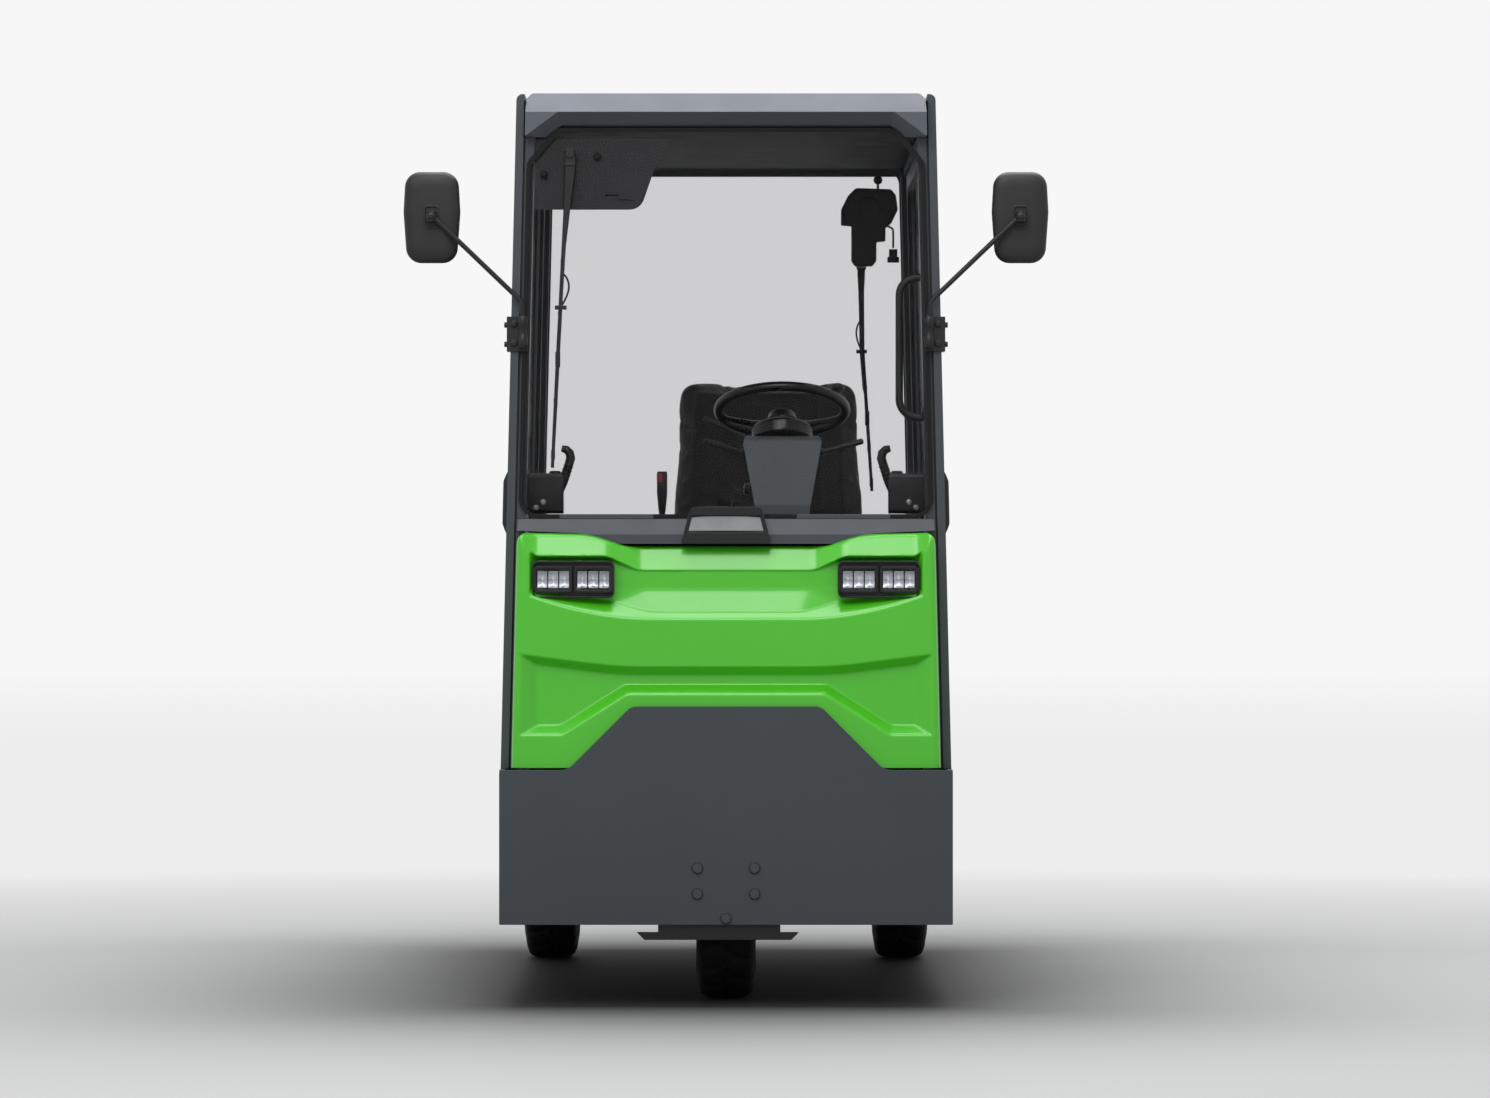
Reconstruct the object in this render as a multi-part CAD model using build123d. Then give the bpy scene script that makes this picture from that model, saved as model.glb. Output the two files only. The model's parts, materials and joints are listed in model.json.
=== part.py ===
from build123d import *
import math
import os

# Three-wheel seated electric tow tractor with a closed two-door cab.
# Millimetres. +X is the driver's left, -Y is forward, +Z is up, floor at Z 0.

# ---------------------------------------------------------------- overall
FRONT_OVERHANG = 290.0
WHEELBASE = 1300.0
REAR_OVERHANG = 289.0
TOW_REACH = 75.0
BOLT_H = 6.0
LENGTH = BOLT_H + FRONT_OVERHANG + WHEELBASE + REAR_OVERHANG + TOW_REACH
BODY_WIDTH = 1000.0
FRONT_Y = -LENGTH / 2 + BOLT_H
FRONT_AXLE_Y = FRONT_Y + FRONT_OVERHANG
REAR_AXLE_Y = FRONT_AXLE_Y + WHEELBASE
BODY_BACK_Y = REAR_AXLE_Y + REAR_OVERHANG
REAR_Y = BODY_BACK_Y + TOW_REACH
HALF = BODY_WIDTH / 2
Z_SKIRT = 181.0
Z_WAIST = 522.0
SIDE_TAPER = 0.0236
GAP = 0.3
MOVE_GAP = 6.0

# ---------------------------------------------------------------- wheels
TYRE_R = 229.0
TYRE_W = 132.0
RIM_R = 102.0
REAR_WHEEL_X = HALF - 2.0 - TYRE_W / 2
AXLE_PIN_R = 20.0
PIN_CLEARANCE = 0.05

# ---------------------------------------------------------------- front sheet metal
PLATE_T = 12.0
BUMPER_BACK_Y = FRONT_Y + PLATE_T
DOOR_Y0 = FRONT_Y + 180.0
BUMPER_CENTRE_Z = 662.0
BUMPER_TOP_HALF = 209.0

PANEL_FRONT_Y = BUMPER_BACK_Y + 3.0
PANEL_INSET = 25.0
PANEL_Z0 = Z_WAIST + 4.0
PANEL_TOP_SIDE_Z = 1047.0
PANEL_TOP_MID_Z = PANEL_TOP_SIDE_Z - 29.0
PANEL_WALL = 6.0
POCKET_DEPTH = 32.0
RECESS_DEPTH = 22.0
SHELL_DEPTH = POCKET_DEPTH + PANEL_WALL

LAMP_X = HALF - 169.5
LAMP_Z = PANEL_TOP_SIDE_Z - 105.0
LAMP_W = 183.0
LAMP_H = 68.0
LAMP_GAP = 1.0
LAMP_FLANGE = 7.0

# ---------------------------------------------------------------- cab shell
ROOF_TOP_Z = 2022.0
ROOF_Z0 = ROOF_TOP_Z - 98.0
CEILING_Z = ROOF_Z0 + 24.0
CEILING_HALF = HALF - 67.0
GLASS_Y = FRONT_Y + 84.0
GLASS_T = 6.0
GLASS_Z0 = PANEL_TOP_SIDE_Z + 31.0
GLASS_Z1 = ROOF_Z0 + 20.0
GLASS_INSET = 26.0
SEAL_W = 9.0
SEAL_T = 3.0
SIDE_T = 18.0
POST_GROOVE = 4.0
POST_W = 20.0
FRONT_POST_Y0 = GLASS_Y + GLASS_T
FRONT_POST_Y1 = DOOR_Y0 - 36.0
SIDE_PLATE_Y0 = GLASS_Y - SEAL_T
PANEL_BACK_Y = SIDE_PLATE_Y0 - GAP
COWL_Y0 = PANEL_BACK_Y - 26.0
DOOR_Y1 = REAR_AXLE_Y - 384.0
REAR_PLATE_Y0 = DOOR_Y1 + MOVE_GAP + 2.0
REAR_WALL_Y = DOOR_Y1 + 64.3
REAR_WALL_T = 8.0
CAB_BACK_Y = DOOR_Y1 + 98.0
PILLAR_Z0 = Z_WAIST + GAP
PILLAR_Z1 = ROOF_TOP_Z - 3.0
RAIL_R = 14.0
RAIL_Z0 = ROOF_Z0
VISOR_Y = GLASS_Y - 45.0
VISOR_Z = ROOF_TOP_Z - 46.0

# ---------------------------------------------------------------- doors
DOOR_T = 30.0
DOOR_Z0 = 345.0
DOOR_Z1 = RAIL_Z0 - MOVE_GAP
DOOR_SILL_Z = 1000.0
DOOR_HEAD_Z = DOOR_Z1 - 38.0
DOOR_PRESSING = 3.0
DOOR_GLASS_T = 5.0
HINGE_OUT = 9.0
HINGE_Y = DOOR_Y1 + MOVE_GAP
HINGE_LEVELS = (640.0, 1240.0, DOOR_Z1 - 118.0)
HINGE_R = 7.0
HINGE_PIN_R = 4.0
LATCH_Z = 1090.0
REAR_SILL_Z = 1040.0

# ---------------------------------------------------------------- driver's place
SEAT_X = 102.0
SEAT_W = 470.0
SEAT_TOP_Z = 1422.0
HOOD_Z1 = 760.0
HOOD_HALF = HALF - DOOR_T - MOVE_GAP - 16.0
HOOD_Y0 = DOOR_Y1 - 502.0
SEAT_BACK_Y = DOOR_Y1 - 102.0
SEAT_BACK_T = 95.0
FOOTBOARD_Y = HOOD_Y0 - 160.0
WHEEL_X = 130.0
WHEEL_Y = HOOD_Y0 - 60.0
WHEEL_Z = 1335.0
WHEEL_TILT = 20.0
WHEEL_R = 148.0
WHEEL_RIM_R = 11.0
STEER_SHAFT_R = 12.0
GRAB_Z0 = 1303.0
GRAB_Z1 = 1614.0
GRAB_REACH = 46.0
GRAB_R = 8.5

# ---------------------------------------------------------------- chassis
RAIL_X1 = REAR_WHEEL_X - TYRE_W / 2 - 26.0
RAIL_X0 = RAIL_X1 - 50.0
CHASSIS_Z0 = 300.0
CHASSIS_Z1 = CHASSIS_Z0 + 80.0
FLOOR_Z = CHASSIS_Z1 + 4.0
FLOOR_T = 12.0
CROWN_Z = 2 * TYRE_R + 12.0
BRIDGE_Z = CROWN_Z + 20.0
FOOTBOARD_Z = BRIDGE_Z + 15.0
REAR_BODY_Y0 = CAB_BACK_Y + 8.0
DECK_Z = 800.0
LID_T = 14.0
ARCH_GAP = 26.0
STEM_R = 30.0


def side(z):
    """Half width of the body at height z: upright below the waist, leaning in above it."""
    return HALF - max(z - Z_WAIST, 0.0) * SIDE_TAPER


def box(x0, x1, y0, y1, z0, z1):
    """Block between two corners."""
    size = (x1 - x0, y1 - y0, z1 - z0)
    return Pos((x0 + x1) / 2, (y0 + y1) / 2, (z0 + z1) / 2) * Box(*size)


def outline(rows):
    """Closed face from rows of (a, b, corner radius)."""
    face = make_face(Polyline(*[(a, b) for a, b, _ in rows], close=True))
    for a, b, radius in rows:
        if radius:
            corner = min(face.vertices(), key=lambda v: abs(v.X - a) + abs(v.Y - b))
            face = fillet(corner, radius)
    return face


def mirrored(rows):
    """Rows of the right half, top to bottom, completed with the left half."""
    return rows + [(-a, b, radius) for a, b, radius in reversed(rows)]


def front_plane(y):
    return Plane(origin=(0, y, 0), x_dir=(1, 0, 0), z_dir=(0, -1, 0))


def side_plane(x):
    return Plane(origin=(x, 0, 0), x_dir=(0, 1, 0), z_dir=(1, 0, 0))


def slab_y(rows, y0, y1):
    """Front-view outline given thickness from y0 back to y1."""
    return extrude(front_plane(y0) * outline(rows), amount=-(y1 - y0))


def slab_x(rows, x0, x1):
    """Side-view outline given thickness from x0 to x1."""
    return extrude(side_plane(x0) * outline(rows), amount=x1 - x0)


def slab_z(rows, z0, z1):
    """Plan outline given thickness from z0 to z1."""
    return extrude(Pos(0, 0, z0) * outline(rows), amount=z1 - z0)


def side_layer(inner, outer, y0, y1, z0, z1, top_radius=0.0):
    """Wall that follows the leaning side, from 'inner' to 'outer' in from its outer face."""
    rows = [(side(z1) - outer, z1, top_radius), (side(z0) - outer, z0, 0)]
    rows += [(side(z0) - inner, z0, 0), (side(z1) - inner, z1, 0)]
    if z0 < Z_WAIST < z1:
        rows.insert(1, (HALF - outer, Z_WAIST, 0))
        rows.insert(4, (HALF - inner, Z_WAIST, 0))
    return slab_y(rows, y0, y1)


def rod(start, end, radius):
    """Round bar between two points."""
    start = Vector(*start)
    end = Vector(*end)
    along = end - start
    return Plane(origin=start, z_dir=along) * extrude(Circle(radius), amount=along.length)


def tube_path(points, radii, radius):
    """Round bar along straight runs joined by arcs."""
    path = FilletPolyline(*points, radius=radii)
    section = Plane(origin=path @ 0, z_dir=path % 0) * Circle(radius)
    return sweep(section, path=path)


def both(shape):
    """The shape and its mirror image on the other side."""
    return [shape, mirror(shape, about=Plane.YZ)]


def left_right(shape):
    """Named pair: the given +X shape is the driver's left."""
    return {"left": shape, "right": mirror(shape, about=Plane.YZ)}


# ---------------------------------------------------------------- wheels and axles
def tyre():
    """Tyre about the X axis, centred on its own middle."""
    height = TYRE_R - RIM_R
    section = Pos(0, RIM_R + height / 2) * Rectangle(TYRE_W, height)
    tread = section.vertices().filter_by(lambda v: v.Y > TYRE_R - 1)
    section = fillet(tread, 20.0)
    bead = section.vertices().filter_by(lambda v: v.Y < RIM_R + 1)
    section = fillet(bead, 12.0)
    return revolve(section, axis=Axis.X)


def rim(bore_r, hub_half):
    """Pressed disc wheel about the X axis with its dish towards +X."""
    edge = TYRE_W / 2 - 16.0
    rows = [(-edge, RIM_R, 0), (-edge, RIM_R - 8, 0), (10, RIM_R - 14, 0), (18, RIM_R - 40, 0)]
    rows += [(18, bore_r + 16, 0), (-hub_half, bore_r + 16, 0), (-hub_half, bore_r, 0)]
    rows += [(hub_half, bore_r, 0), (hub_half, bore_r + 16, 0), (28, bore_r + 16, 0)]
    rows += [(28, RIM_R - 38, 0), (22, RIM_R - 8, 0), (edge, RIM_R - 8, 0), (edge, RIM_R, 0)]
    body = revolve(outline(rows), axis=Axis.X)
    nuts = []
    for index in range(5):
        nut = Pos(28, 0, 0) * Rot(72.0 * index, 0, 0) * Pos(0, bore_r + 27, 0)
        nuts.append(nut * Rot(0, 90, 0) * extrude(RegularPolygon(9, 6), amount=9))
    return body + nuts


def steering_fork():
    """Steering stem, crown, two legs and the fixed axle pin of the front wheel."""
    leg_inner = TYRE_W / 2 + 12.0
    leg_outer = leg_inner + 14.0
    crown = Pos(0, FRONT_AXLE_Y, CROWN_Z + 6) * Cylinder(leg_outer + 8, 12)
    leg = box(leg_inner, leg_outer, FRONT_AXLE_Y - 34, FRONT_AXLE_Y + 34, TYRE_R, CROWN_Z)
    eye = rod((leg_inner, FRONT_AXLE_Y, TYRE_R), (leg_outer, FRONT_AXLE_Y, TYRE_R), 34)
    stem = rod((0, FRONT_AXLE_Y, CROWN_Z + 12), (0, FRONT_AXLE_Y, CROWN_Z + 122), STEM_R)
    pin = rod((-leg_outer - 8, FRONT_AXLE_Y, TYRE_R), (leg_outer + 8, FRONT_AXLE_Y, TYRE_R), AXLE_PIN_R)
    shape = crown + stem + pin
    for part in both(leg + eye):
        shape += part
    return shape


def steering_bridge():
    """Bridge over the front wheel with the steering head's bearing tube."""
    beam_z = BRIDGE_Z
    y0 = FRONT_AXLE_Y - 60
    y1 = FRONT_AXLE_Y + 60
    shape = box(-RAIL_X1, RAIL_X1, y0, y1, beam_z, beam_z + 12)
    shape += box(RAIL_X0, RAIL_X1, y0, y1, CHASSIS_Z1, beam_z)
    shape += box(-RAIL_X1, -RAIL_X0, y0, y1, CHASSIS_Z1, beam_z)
    shape += rod((0, FRONT_AXLE_Y, beam_z), (0, FRONT_AXLE_Y, beam_z + 90), STEM_R + 14)
    bore = rod((0, FRONT_AXLE_Y, beam_z - 1), (0, FRONT_AXLE_Y, beam_z + 91), STEM_R + PIN_CLEARANCE)
    return shape - bore


def rear_axle():
    """Drive axle: tubes, centre gear case, brake drums, spring pads and wheel stubs."""
    centre = (REAR_AXLE_Y, TYRE_R)
    drum_x = REAR_WHEEL_X - TYRE_W / 2 - 4.0
    shape = rod((-drum_x, *centre), (drum_x, *centre), 46)
    shape += rod((-80, *centre), (80, *centre), 105)
    for sign in (-1, 1):
        shape += rod((sign * (drum_x - 18), *centre), (sign * drum_x, *centre), 78)
        stub_end = sign * (REAR_WHEEL_X + 34)
        shape += rod((sign * drum_x, *centre), (stub_end, *centre), AXLE_PIN_R)
        pad_x = sign * (RAIL_X0 + RAIL_X1) / 2
        shape += box(pad_x - 20, pad_x + 20, REAR_AXLE_Y - 45, REAR_AXLE_Y + 45, TYRE_R, CHASSIS_Z0)
    return shape


# ---------------------------------------------------------------- chassis
def chassis_rails():
    rail = box(RAIL_X0, RAIL_X1, BUMPER_BACK_Y, BODY_BACK_Y - PLATE_T, CHASSIS_Z0, CHASSIS_Z1)
    return both(rail)


def cross_members():
    members = []
    for y in (FOOTBOARD_Y, HOOD_Y0 + 330, REAR_AXLE_Y - 216):
        members.append(box(-RAIL_X0, RAIL_X0, y, y + 50, CHASSIS_Z0, CHASSIS_Z1))
    return members


def side_sills():
    """Sill and step under each door."""
    y0 = DOOR_Y0 + GAP
    y1 = REAR_PLATE_Y0 - GAP
    web = [(y0, Z_SKIRT, 0), (y1, Z_SKIRT, 0), (y1, FLOOR_Z, 0), (FOOTBOARD_Y, FLOOR_Z, 0)]
    web += [(FOOTBOARD_Y, FOOTBOARD_Z, 0), (y0, FOOTBOARD_Z, 0)]
    step_x0 = HALF - DOOR_T - 14.0
    shape = slab_x(web, step_x0, step_x0 + 8)
    shape += box(step_x0, HALF, y0, y1, Z_SKIRT, DOOR_Z0 - MOVE_GAP - 2)
    for y in (HOOD_Y0 + 70, HOOD_Y0 + 400):
        shape += box(RAIL_X1, step_x0, y, y + 50, CHASSIS_Z0, CHASSIS_Z1)
    return both(shape)


def cab_floor():
    """Floor plate that steps up over the front wheel."""
    rows = [(GLASS_Y + 6, FOOTBOARD_Z, 0), (GLASS_Y + 6, FOOTBOARD_Z + FLOOR_T, 0)]
    rows += [(FOOTBOARD_Y + FLOOR_T, FOOTBOARD_Z + FLOOR_T, 0), (FOOTBOARD_Y + FLOOR_T, FLOOR_Z + FLOOR_T, 0)]
    rows += [(REAR_WALL_Y - GAP, FLOOR_Z + FLOOR_T, 0), (REAR_WALL_Y - GAP, FLOOR_Z, 0)]
    rows += [(FOOTBOARD_Y, FLOOR_Z, 0), (FOOTBOARD_Y, FOOTBOARD_Z, 0)]
    half = HALF - DOOR_T - MOVE_GAP
    plate = slab_x(rows, -half, half)
    hole = rod((0, FRONT_AXLE_Y, FLOOR_Z), (0, FRONT_AXLE_Y, FOOTBOARD_Z + 50), STEM_R + 14 + GAP)
    return plate - hole


# ---------------------------------------------------------------- front end
def front_bumper():
    """Steel front plate with a raised middle and a return down each side."""
    foot = BUMPER_TOP_HALF + BUMPER_CENTRE_Z - Z_WAIST
    rows = [(BUMPER_TOP_HALF, BUMPER_CENTRE_Z, 30), (foot, Z_WAIST, 40)]
    rows += [(HALF, Z_WAIST, 5), (HALF, Z_SKIRT, 3)]
    plate = slab_y(mirrored(rows), FRONT_Y, BUMPER_BACK_Y)
    shape = plate
    for part in both(box(HALF - PLATE_T, HALF, BUMPER_BACK_Y, DOOR_Y0, Z_SKIRT, Z_WAIST)):
        shape += part
    for x, z in ((63, 306), (63, 249), (-63, 306), (-63, 249), (0, 195)):
        bolt = Plane(origin=(x, FRONT_Y, z), z_dir=(0, -1, 0)) * extrude(RegularPolygon(11, 6), amount=BOLT_H)
        shape += bolt
    return shape


def front_tow_plate():
    """Flat plate under the bumper, in front of the wheel."""
    rows = [(-196, 163, 0), (-180, 147, 0), (144, 147, 0), (160, 163, 0)]
    plate = slab_y(rows, BUMPER_BACK_Y + GAP, BUMPER_BACK_Y + 24)
    hanger = box(-150, 120, BUMPER_BACK_Y + GAP, BUMPER_BACK_Y + 12, 160, 330)
    return plate + hanger


def panel_outline():
    rows = [(250, PANEL_TOP_MID_Z, 40), (324, PANEL_TOP_SIDE_Z - 6, 60)]
    rows += [(side(PANEL_TOP_SIDE_Z) - PANEL_INSET, PANEL_TOP_SIDE_Z, 12)]
    rows += [(side(PANEL_Z0) - PANEL_INSET, PANEL_Z0, 0)]
    return mirrored(rows)


def cover_pocket():
    """Cut for the lamps' pocket: steep under the brow, sloped over the curved ledge below."""
    top = PANEL_TOP_SIDE_Z
    end = HALF - 66
    front = [(0, top - 85), (194, top - 85), (262, top - 53), (end, top - 53)]
    front += [(end, top - 143), (300, top - 181), (160, top - 194), (0, top - 194)]
    crease = [(0, top - 87), (195, top - 87), (263, top - 55), (end - 7, top - 55)]
    crease += [(end - 7, top - 129), (300, top - 165), (163, top - 178), (0, top - 178)]
    floor = [(0, top - 92), (198, top - 92), (266, top - 61), (end - 14, top - 61)]
    floor += [(end - 14, top - 111), (300, top - 147), (176, top - 127), (0, top - 127)]
    sections = []
    for depth, rows in ((-0.5, front), (15, crease), (POCKET_DEPTH, floor)):
        sections.append(front_plane(PANEL_FRONT_Y + depth) * make_face(Polyline(*rows, close=True)))
    half = loft(sections, ruled=True)
    return half + mirror(half, about=Plane.YZ)


def cover_brow():
    """Cut above the brow's crease: a low middle between raised corners."""
    top = PANEL_TOP_SIDE_Z + 10
    front = PANEL_FRONT_Y
    low = PANEL_TOP_SIDE_Z - 85
    crown = [(front - 1, PANEL_TOP_SIDE_Z - 53, 0), (front + 8, PANEL_TOP_SIDE_Z - 53, 0)]
    crown += [(front + 34.5, top, 0), (front - 1, top, 0)]
    sections = []
    for depth, half, z in ((-0.5, 258, low), (8, 250, low), (29, 194, low), (58, 112, PANEL_TOP_SIDE_Z - 16)):
        rows = [(half, top), (half, z), (-half, z), (-half, top)]
        sections.append(front_plane(front + depth) * make_face(Polyline(*rows, close=True)))
    return slab_x(crown, -HALF, HALF) + loft(sections, ruled=True)


def cover_recess():
    """Cut for the lower recess, between slanted walls and over a stepped ledge."""
    top = PANEL_TOP_SIDE_Z
    end = HALF - 45
    front = [(0, top - 298), (239, top - 298), (369, top - 282), (end, top - 270)]
    front += [(end, top - 448.5), (359, top - 448.5), (218, top - 358), (0, top - 358)]
    floor = [(0, top - 314), (239, top - 314), (369, top - 298), (end - 34, top - 288)]
    floor += [(end - 34, top - 428.5), (366, top - 428.5), (224, top - 339), (0, top - 339)]
    sections = []
    for depth, rows in ((-0.5, front), (RECESS_DEPTH, floor)):
        sections.append(front_plane(PANEL_FRONT_Y + depth) * make_face(Polyline(*rows, close=True)))
    half = loft(sections, ruled=True)
    return half + mirror(half, about=Plane.YZ)


def cover_hollow():
    """Open back of the moulding: behind the pockets, the raised band and the recess."""
    top = PANEL_TOP_SIDE_Z
    wall = PANEL_WALL
    edge = PANEL_INSET + wall
    behind = [(170, top - 85, 20), (216, top - 56, 10), (310, top - 34, 20), (side(top - 20) - edge, top - 20, 10)]
    behind += [(side(PANEL_Z0) - edge, PANEL_Z0 + wall, 10)]
    shape = slab_y(mirrored(behind), PANEL_FRONT_Y + SHELL_DEPTH, PANEL_BACK_Y + 1)
    band = [(160, top - 206, 30), (HALF - 74, top - 172, 20), (HALF - 74, top - 258, 20), (239, top - 286, 30)]
    shape += slab_y(mirrored(band), PANEL_FRONT_Y + 2 * wall, PANEL_BACK_Y)
    below = [(HALF - 80, top - 310, 20), (HALF - 80, PANEL_Z0 + 14, 20)]
    shape += slab_y(mirrored(below), PANEL_FRONT_Y + RECESS_DEPTH + wall, PANEL_BACK_Y)
    return shape


def front_panel():
    """Moulded front cover: a shell with a brow, lamp pockets, a raised band and a lower recess."""
    shape = slab_y(panel_outline(), PANEL_FRONT_Y, PANEL_BACK_Y)
    upright = shape.edges().filter_by(lambda e: abs(e.center().X) > HALF - 60 and e.length > 300)
    upright = upright.filter_by(lambda e: e.center().Y < PANEL_FRONT_Y + 1)
    shape = fillet(upright, 12.0)
    for cut in (cover_brow(), cover_pocket(), cover_recess(), cover_hollow()):
        shape -= cut
    for x in (-LAMP_X, LAMP_X):
        half_w = LAMP_W / 2 + LAMP_GAP
        half_h = LAMP_H / 2 + LAMP_GAP
        shape -= box(x - half_w, x + half_w, PANEL_FRONT_Y - 5, PANEL_BACK_Y + 5, LAMP_Z - half_h, LAMP_Z + half_h)
    return shape


def lamp_body(x):
    """One head lamp: two modules of three reflector wells, flanged behind the cover's wall."""
    half_w = LAMP_W / 2
    half_h = LAMP_H / 2
    rows = [(x - half_w, LAMP_Z - half_h, 12), (x + half_w, LAMP_Z - half_h, 12)]
    rows += [(x + half_w, LAMP_Z + half_h, 12), (x - half_w, LAMP_Z + half_h, 12)]
    front = PANEL_FRONT_Y + 6
    shape = slab_y(rows, front, PANEL_BACK_Y)
    shape -= box(x - 2, x + 2, front - 1, front + 8, LAMP_Z - half_h - 1, LAMP_Z + half_h + 1)
    for module in (-1, 1):
        cx = x + module * LAMP_W / 4
        shape -= box(cx - 37, cx + 37, front - 1, front + 6, LAMP_Z - 22, LAMP_Z + 22)
        for well in (-1, 0, 1):
            wx = cx + well * 24
            shape -= box(wx - 11, wx + 11, front, front + 20, LAMP_Z - 19, LAMP_Z + 19)
    grow_w = half_w + LAMP_FLANGE
    grow_h = half_h + LAMP_FLANGE
    seat = PANEL_FRONT_Y + SHELL_DEPTH + GAP
    return shape + box(x - grow_w, x + grow_w, seat, seat + 4, LAMP_Z - grow_h, LAMP_Z + grow_h)


def head_lamps():
    return [lamp_body(-LAMP_X), lamp_body(LAMP_X)]


def lamp_reflectors():
    """A hollow-ground reflector in each lamp well."""
    front = PANEL_FRONT_Y + 6
    dishes = []
    for x in (-LAMP_X, LAMP_X):
        for module in (-1, 1):
            for well in (-1, 0, 1):
                wx = x + module * LAMP_W / 4 + well * 24
                dish = box(wx - 11, wx + 11, front + 8, front + 20, LAMP_Z - 19, LAMP_Z + 19)
                dish -= rod((wx, front + 4, LAMP_Z - 20), (wx, front + 4, LAMP_Z + 20), 10.5)
                dishes.append(dish)
    return dishes


def cowl():
    """Scuttle panel between the front cover and the windshield."""
    rows = [(side(GLASS_Z0) - PANEL_INSET, GLASS_Z0 - 2, 4)]
    rows += [(side(PANEL_TOP_SIDE_Z) - PANEL_INSET, PANEL_TOP_SIDE_Z + 3, 0)]
    rows += [(324, PANEL_TOP_SIDE_Z - 3, 60), (250, PANEL_TOP_MID_Z + 3, 40)]
    shape = slab_y(mirrored(rows), COWL_Y0, PANEL_BACK_Y)
    slope = [(COWL_Y0 - 1, PANEL_TOP_MID_Z + 24, 0), (COWL_Y0, PANEL_TOP_MID_Z + 24, 0)]
    slope += [(PANEL_BACK_Y - 4, GLASS_Z0, 0), (COWL_Y0 - 1, GLASS_Z0, 0)]
    return shape - slab_x(slope, -HALF, HALF)


def centre_lamp():
    """Plain lamp pod on the scuttle."""
    face_z = PANEL_TOP_MID_Z + 35
    rows = [(84, GLASS_Z0 + 25, 8), (100, PANEL_TOP_MID_Z + 4, 3)]
    front = PANEL_FRONT_Y + 14
    shape = slab_y(mirrored(rows), front, COWL_Y0 - GAP)
    return shape - box(-82, 82, front - 1, front + 8, face_z, face_z + 38)


def centre_lamp_lens():
    front = PANEL_FRONT_Y + 14
    face_z = PANEL_TOP_MID_Z + 36
    rows = [(76, face_z + 36, 4), (81, face_z, 0)]
    return slab_y(mirrored(rows), front + 3, front + 8)


# ---------------------------------------------------------------- cab shell
def windshield_outline(inset):
    """Rows of the windshield's edge, drawn in by inset."""
    z0 = GLASS_Z0 + inset
    z1 = GLASS_Z1 - inset
    low = side(z0) - GLASS_INSET - inset
    high = side(GLASS_Z1 - 78) - GLASS_INSET - inset
    rows = [(high - 66, z1, 30), (high, z1 - 76, 30), (low, z0, 44 - inset)]
    return mirrored(rows)


def windshield():
    return slab_y(windshield_outline(0), GLASS_Y, GLASS_Y + GLASS_T)


def windshield_seal():
    outer = slab_y(windshield_outline(0), GLASS_Y - SEAL_T, GLASS_Y)
    return outer - slab_y(windshield_outline(SEAL_W), GLASS_Y - SEAL_T - 1, GLASS_Y + 1)


def front_pillar():
    """Front post, its side plate and the web that joins them behind the seam."""
    post_z1 = ROOF_Z0 - GAP
    outer = SIDE_T + POST_GROOVE
    shape = side_layer(outer + POST_W, outer, FRONT_POST_Y0, FRONT_POST_Y1, PILLAR_Z0, post_z1)
    shape += side_layer(outer, SIDE_T, FRONT_POST_Y0 + 12, FRONT_POST_Y1, PILLAR_Z0, post_z1)
    shape += side_layer(outer + POST_W, outer, SIDE_PLATE_Y0, FRONT_POST_Y0 + 2, PILLAR_Z0, GLASS_Z0 - 3)
    y1 = DOOR_Y0 - MOVE_GAP
    return shape + side_layer(SIDE_T, 0, SIDE_PLATE_Y0, y1, PILLAR_Z0, PILLAR_Z1, RAIL_R)


def rear_pillar():
    post_z1 = ROOF_Z0 - GAP
    outer = SIDE_T + POST_GROOVE
    y0 = REAR_PLATE_Y0 + 20
    shape = side_layer(outer + POST_W, SIDE_T, y0, REAR_WALL_Y - GAP, PILLAR_Z0, post_z1)
    return shape + side_layer(SIDE_T, 0, REAR_PLATE_Y0, CAB_BACK_Y, PILLAR_Z0, PILLAR_Z1, RAIL_R)


def roof_rail():
    y0 = DOOR_Y0 - MOVE_GAP + GAP
    return side_layer(SIDE_T, 0, y0, REAR_PLATE_Y0 - GAP, RAIL_Z0, PILLAR_Z1, RAIL_R)


def cab_pillars():
    return both(front_pillar()) + both(rear_pillar()) + both(roof_rail())


def roof():
    """Roof moulding with a flared visor over the windshield."""
    edge = SIDE_T + POST_GROOVE
    rows = [(side(ROOF_TOP_Z) - edge - 12, ROOF_TOP_Z, 10), (side(ROOF_TOP_Z - 14) - edge, ROOF_TOP_Z - 14, 8)]
    rows += [(side(ROOF_Z0) - edge, ROOF_Z0, 0)]
    shape = slab_y(mirrored(rows), VISOR_Y, CAB_BACK_Y)
    slope = [(VISOR_Y - 1, VISOR_Z, 0), (VISOR_Y, VISOR_Z, 0)]
    slope += [(VISOR_Y + 60, ROOF_TOP_Z + 1, 0), (VISOR_Y - 1, ROOF_TOP_Z + 1, 0)]
    shape -= slab_x(slope, -HALF, HALF)
    flare = [(HALF - 128, VISOR_Z, 0), (HALF - 58, ROOF_Z0, 0), (HALF - 58, ROOF_Z0 - 80, 0)]
    shape -= extrude(front_plane(VISOR_Y) * outline(mirrored(flare)), amount=-(FRONT_POST_Y0 - VISOR_Y), taper=28)
    shape -= slab_y(windshield_outline(-1), GLASS_Y - SEAL_T - 1, FRONT_POST_Y0)
    y1 = REAR_WALL_Y + REAR_WALL_T + 8
    shape -= box(-CEILING_HALF, CEILING_HALF, FRONT_POST_Y0 - 1, y1, ROOF_Z0 - 1, CEILING_Z)
    return shape


def rear_window_outline(grow):
    z0 = REAR_SILL_Z - grow
    z1 = CEILING_Z - 12 + grow
    low = side(z0) - 46 + grow
    high = side(z1) - 46 + grow
    return mirrored([(high, z1, 34), (low, z0, 34)])


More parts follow.
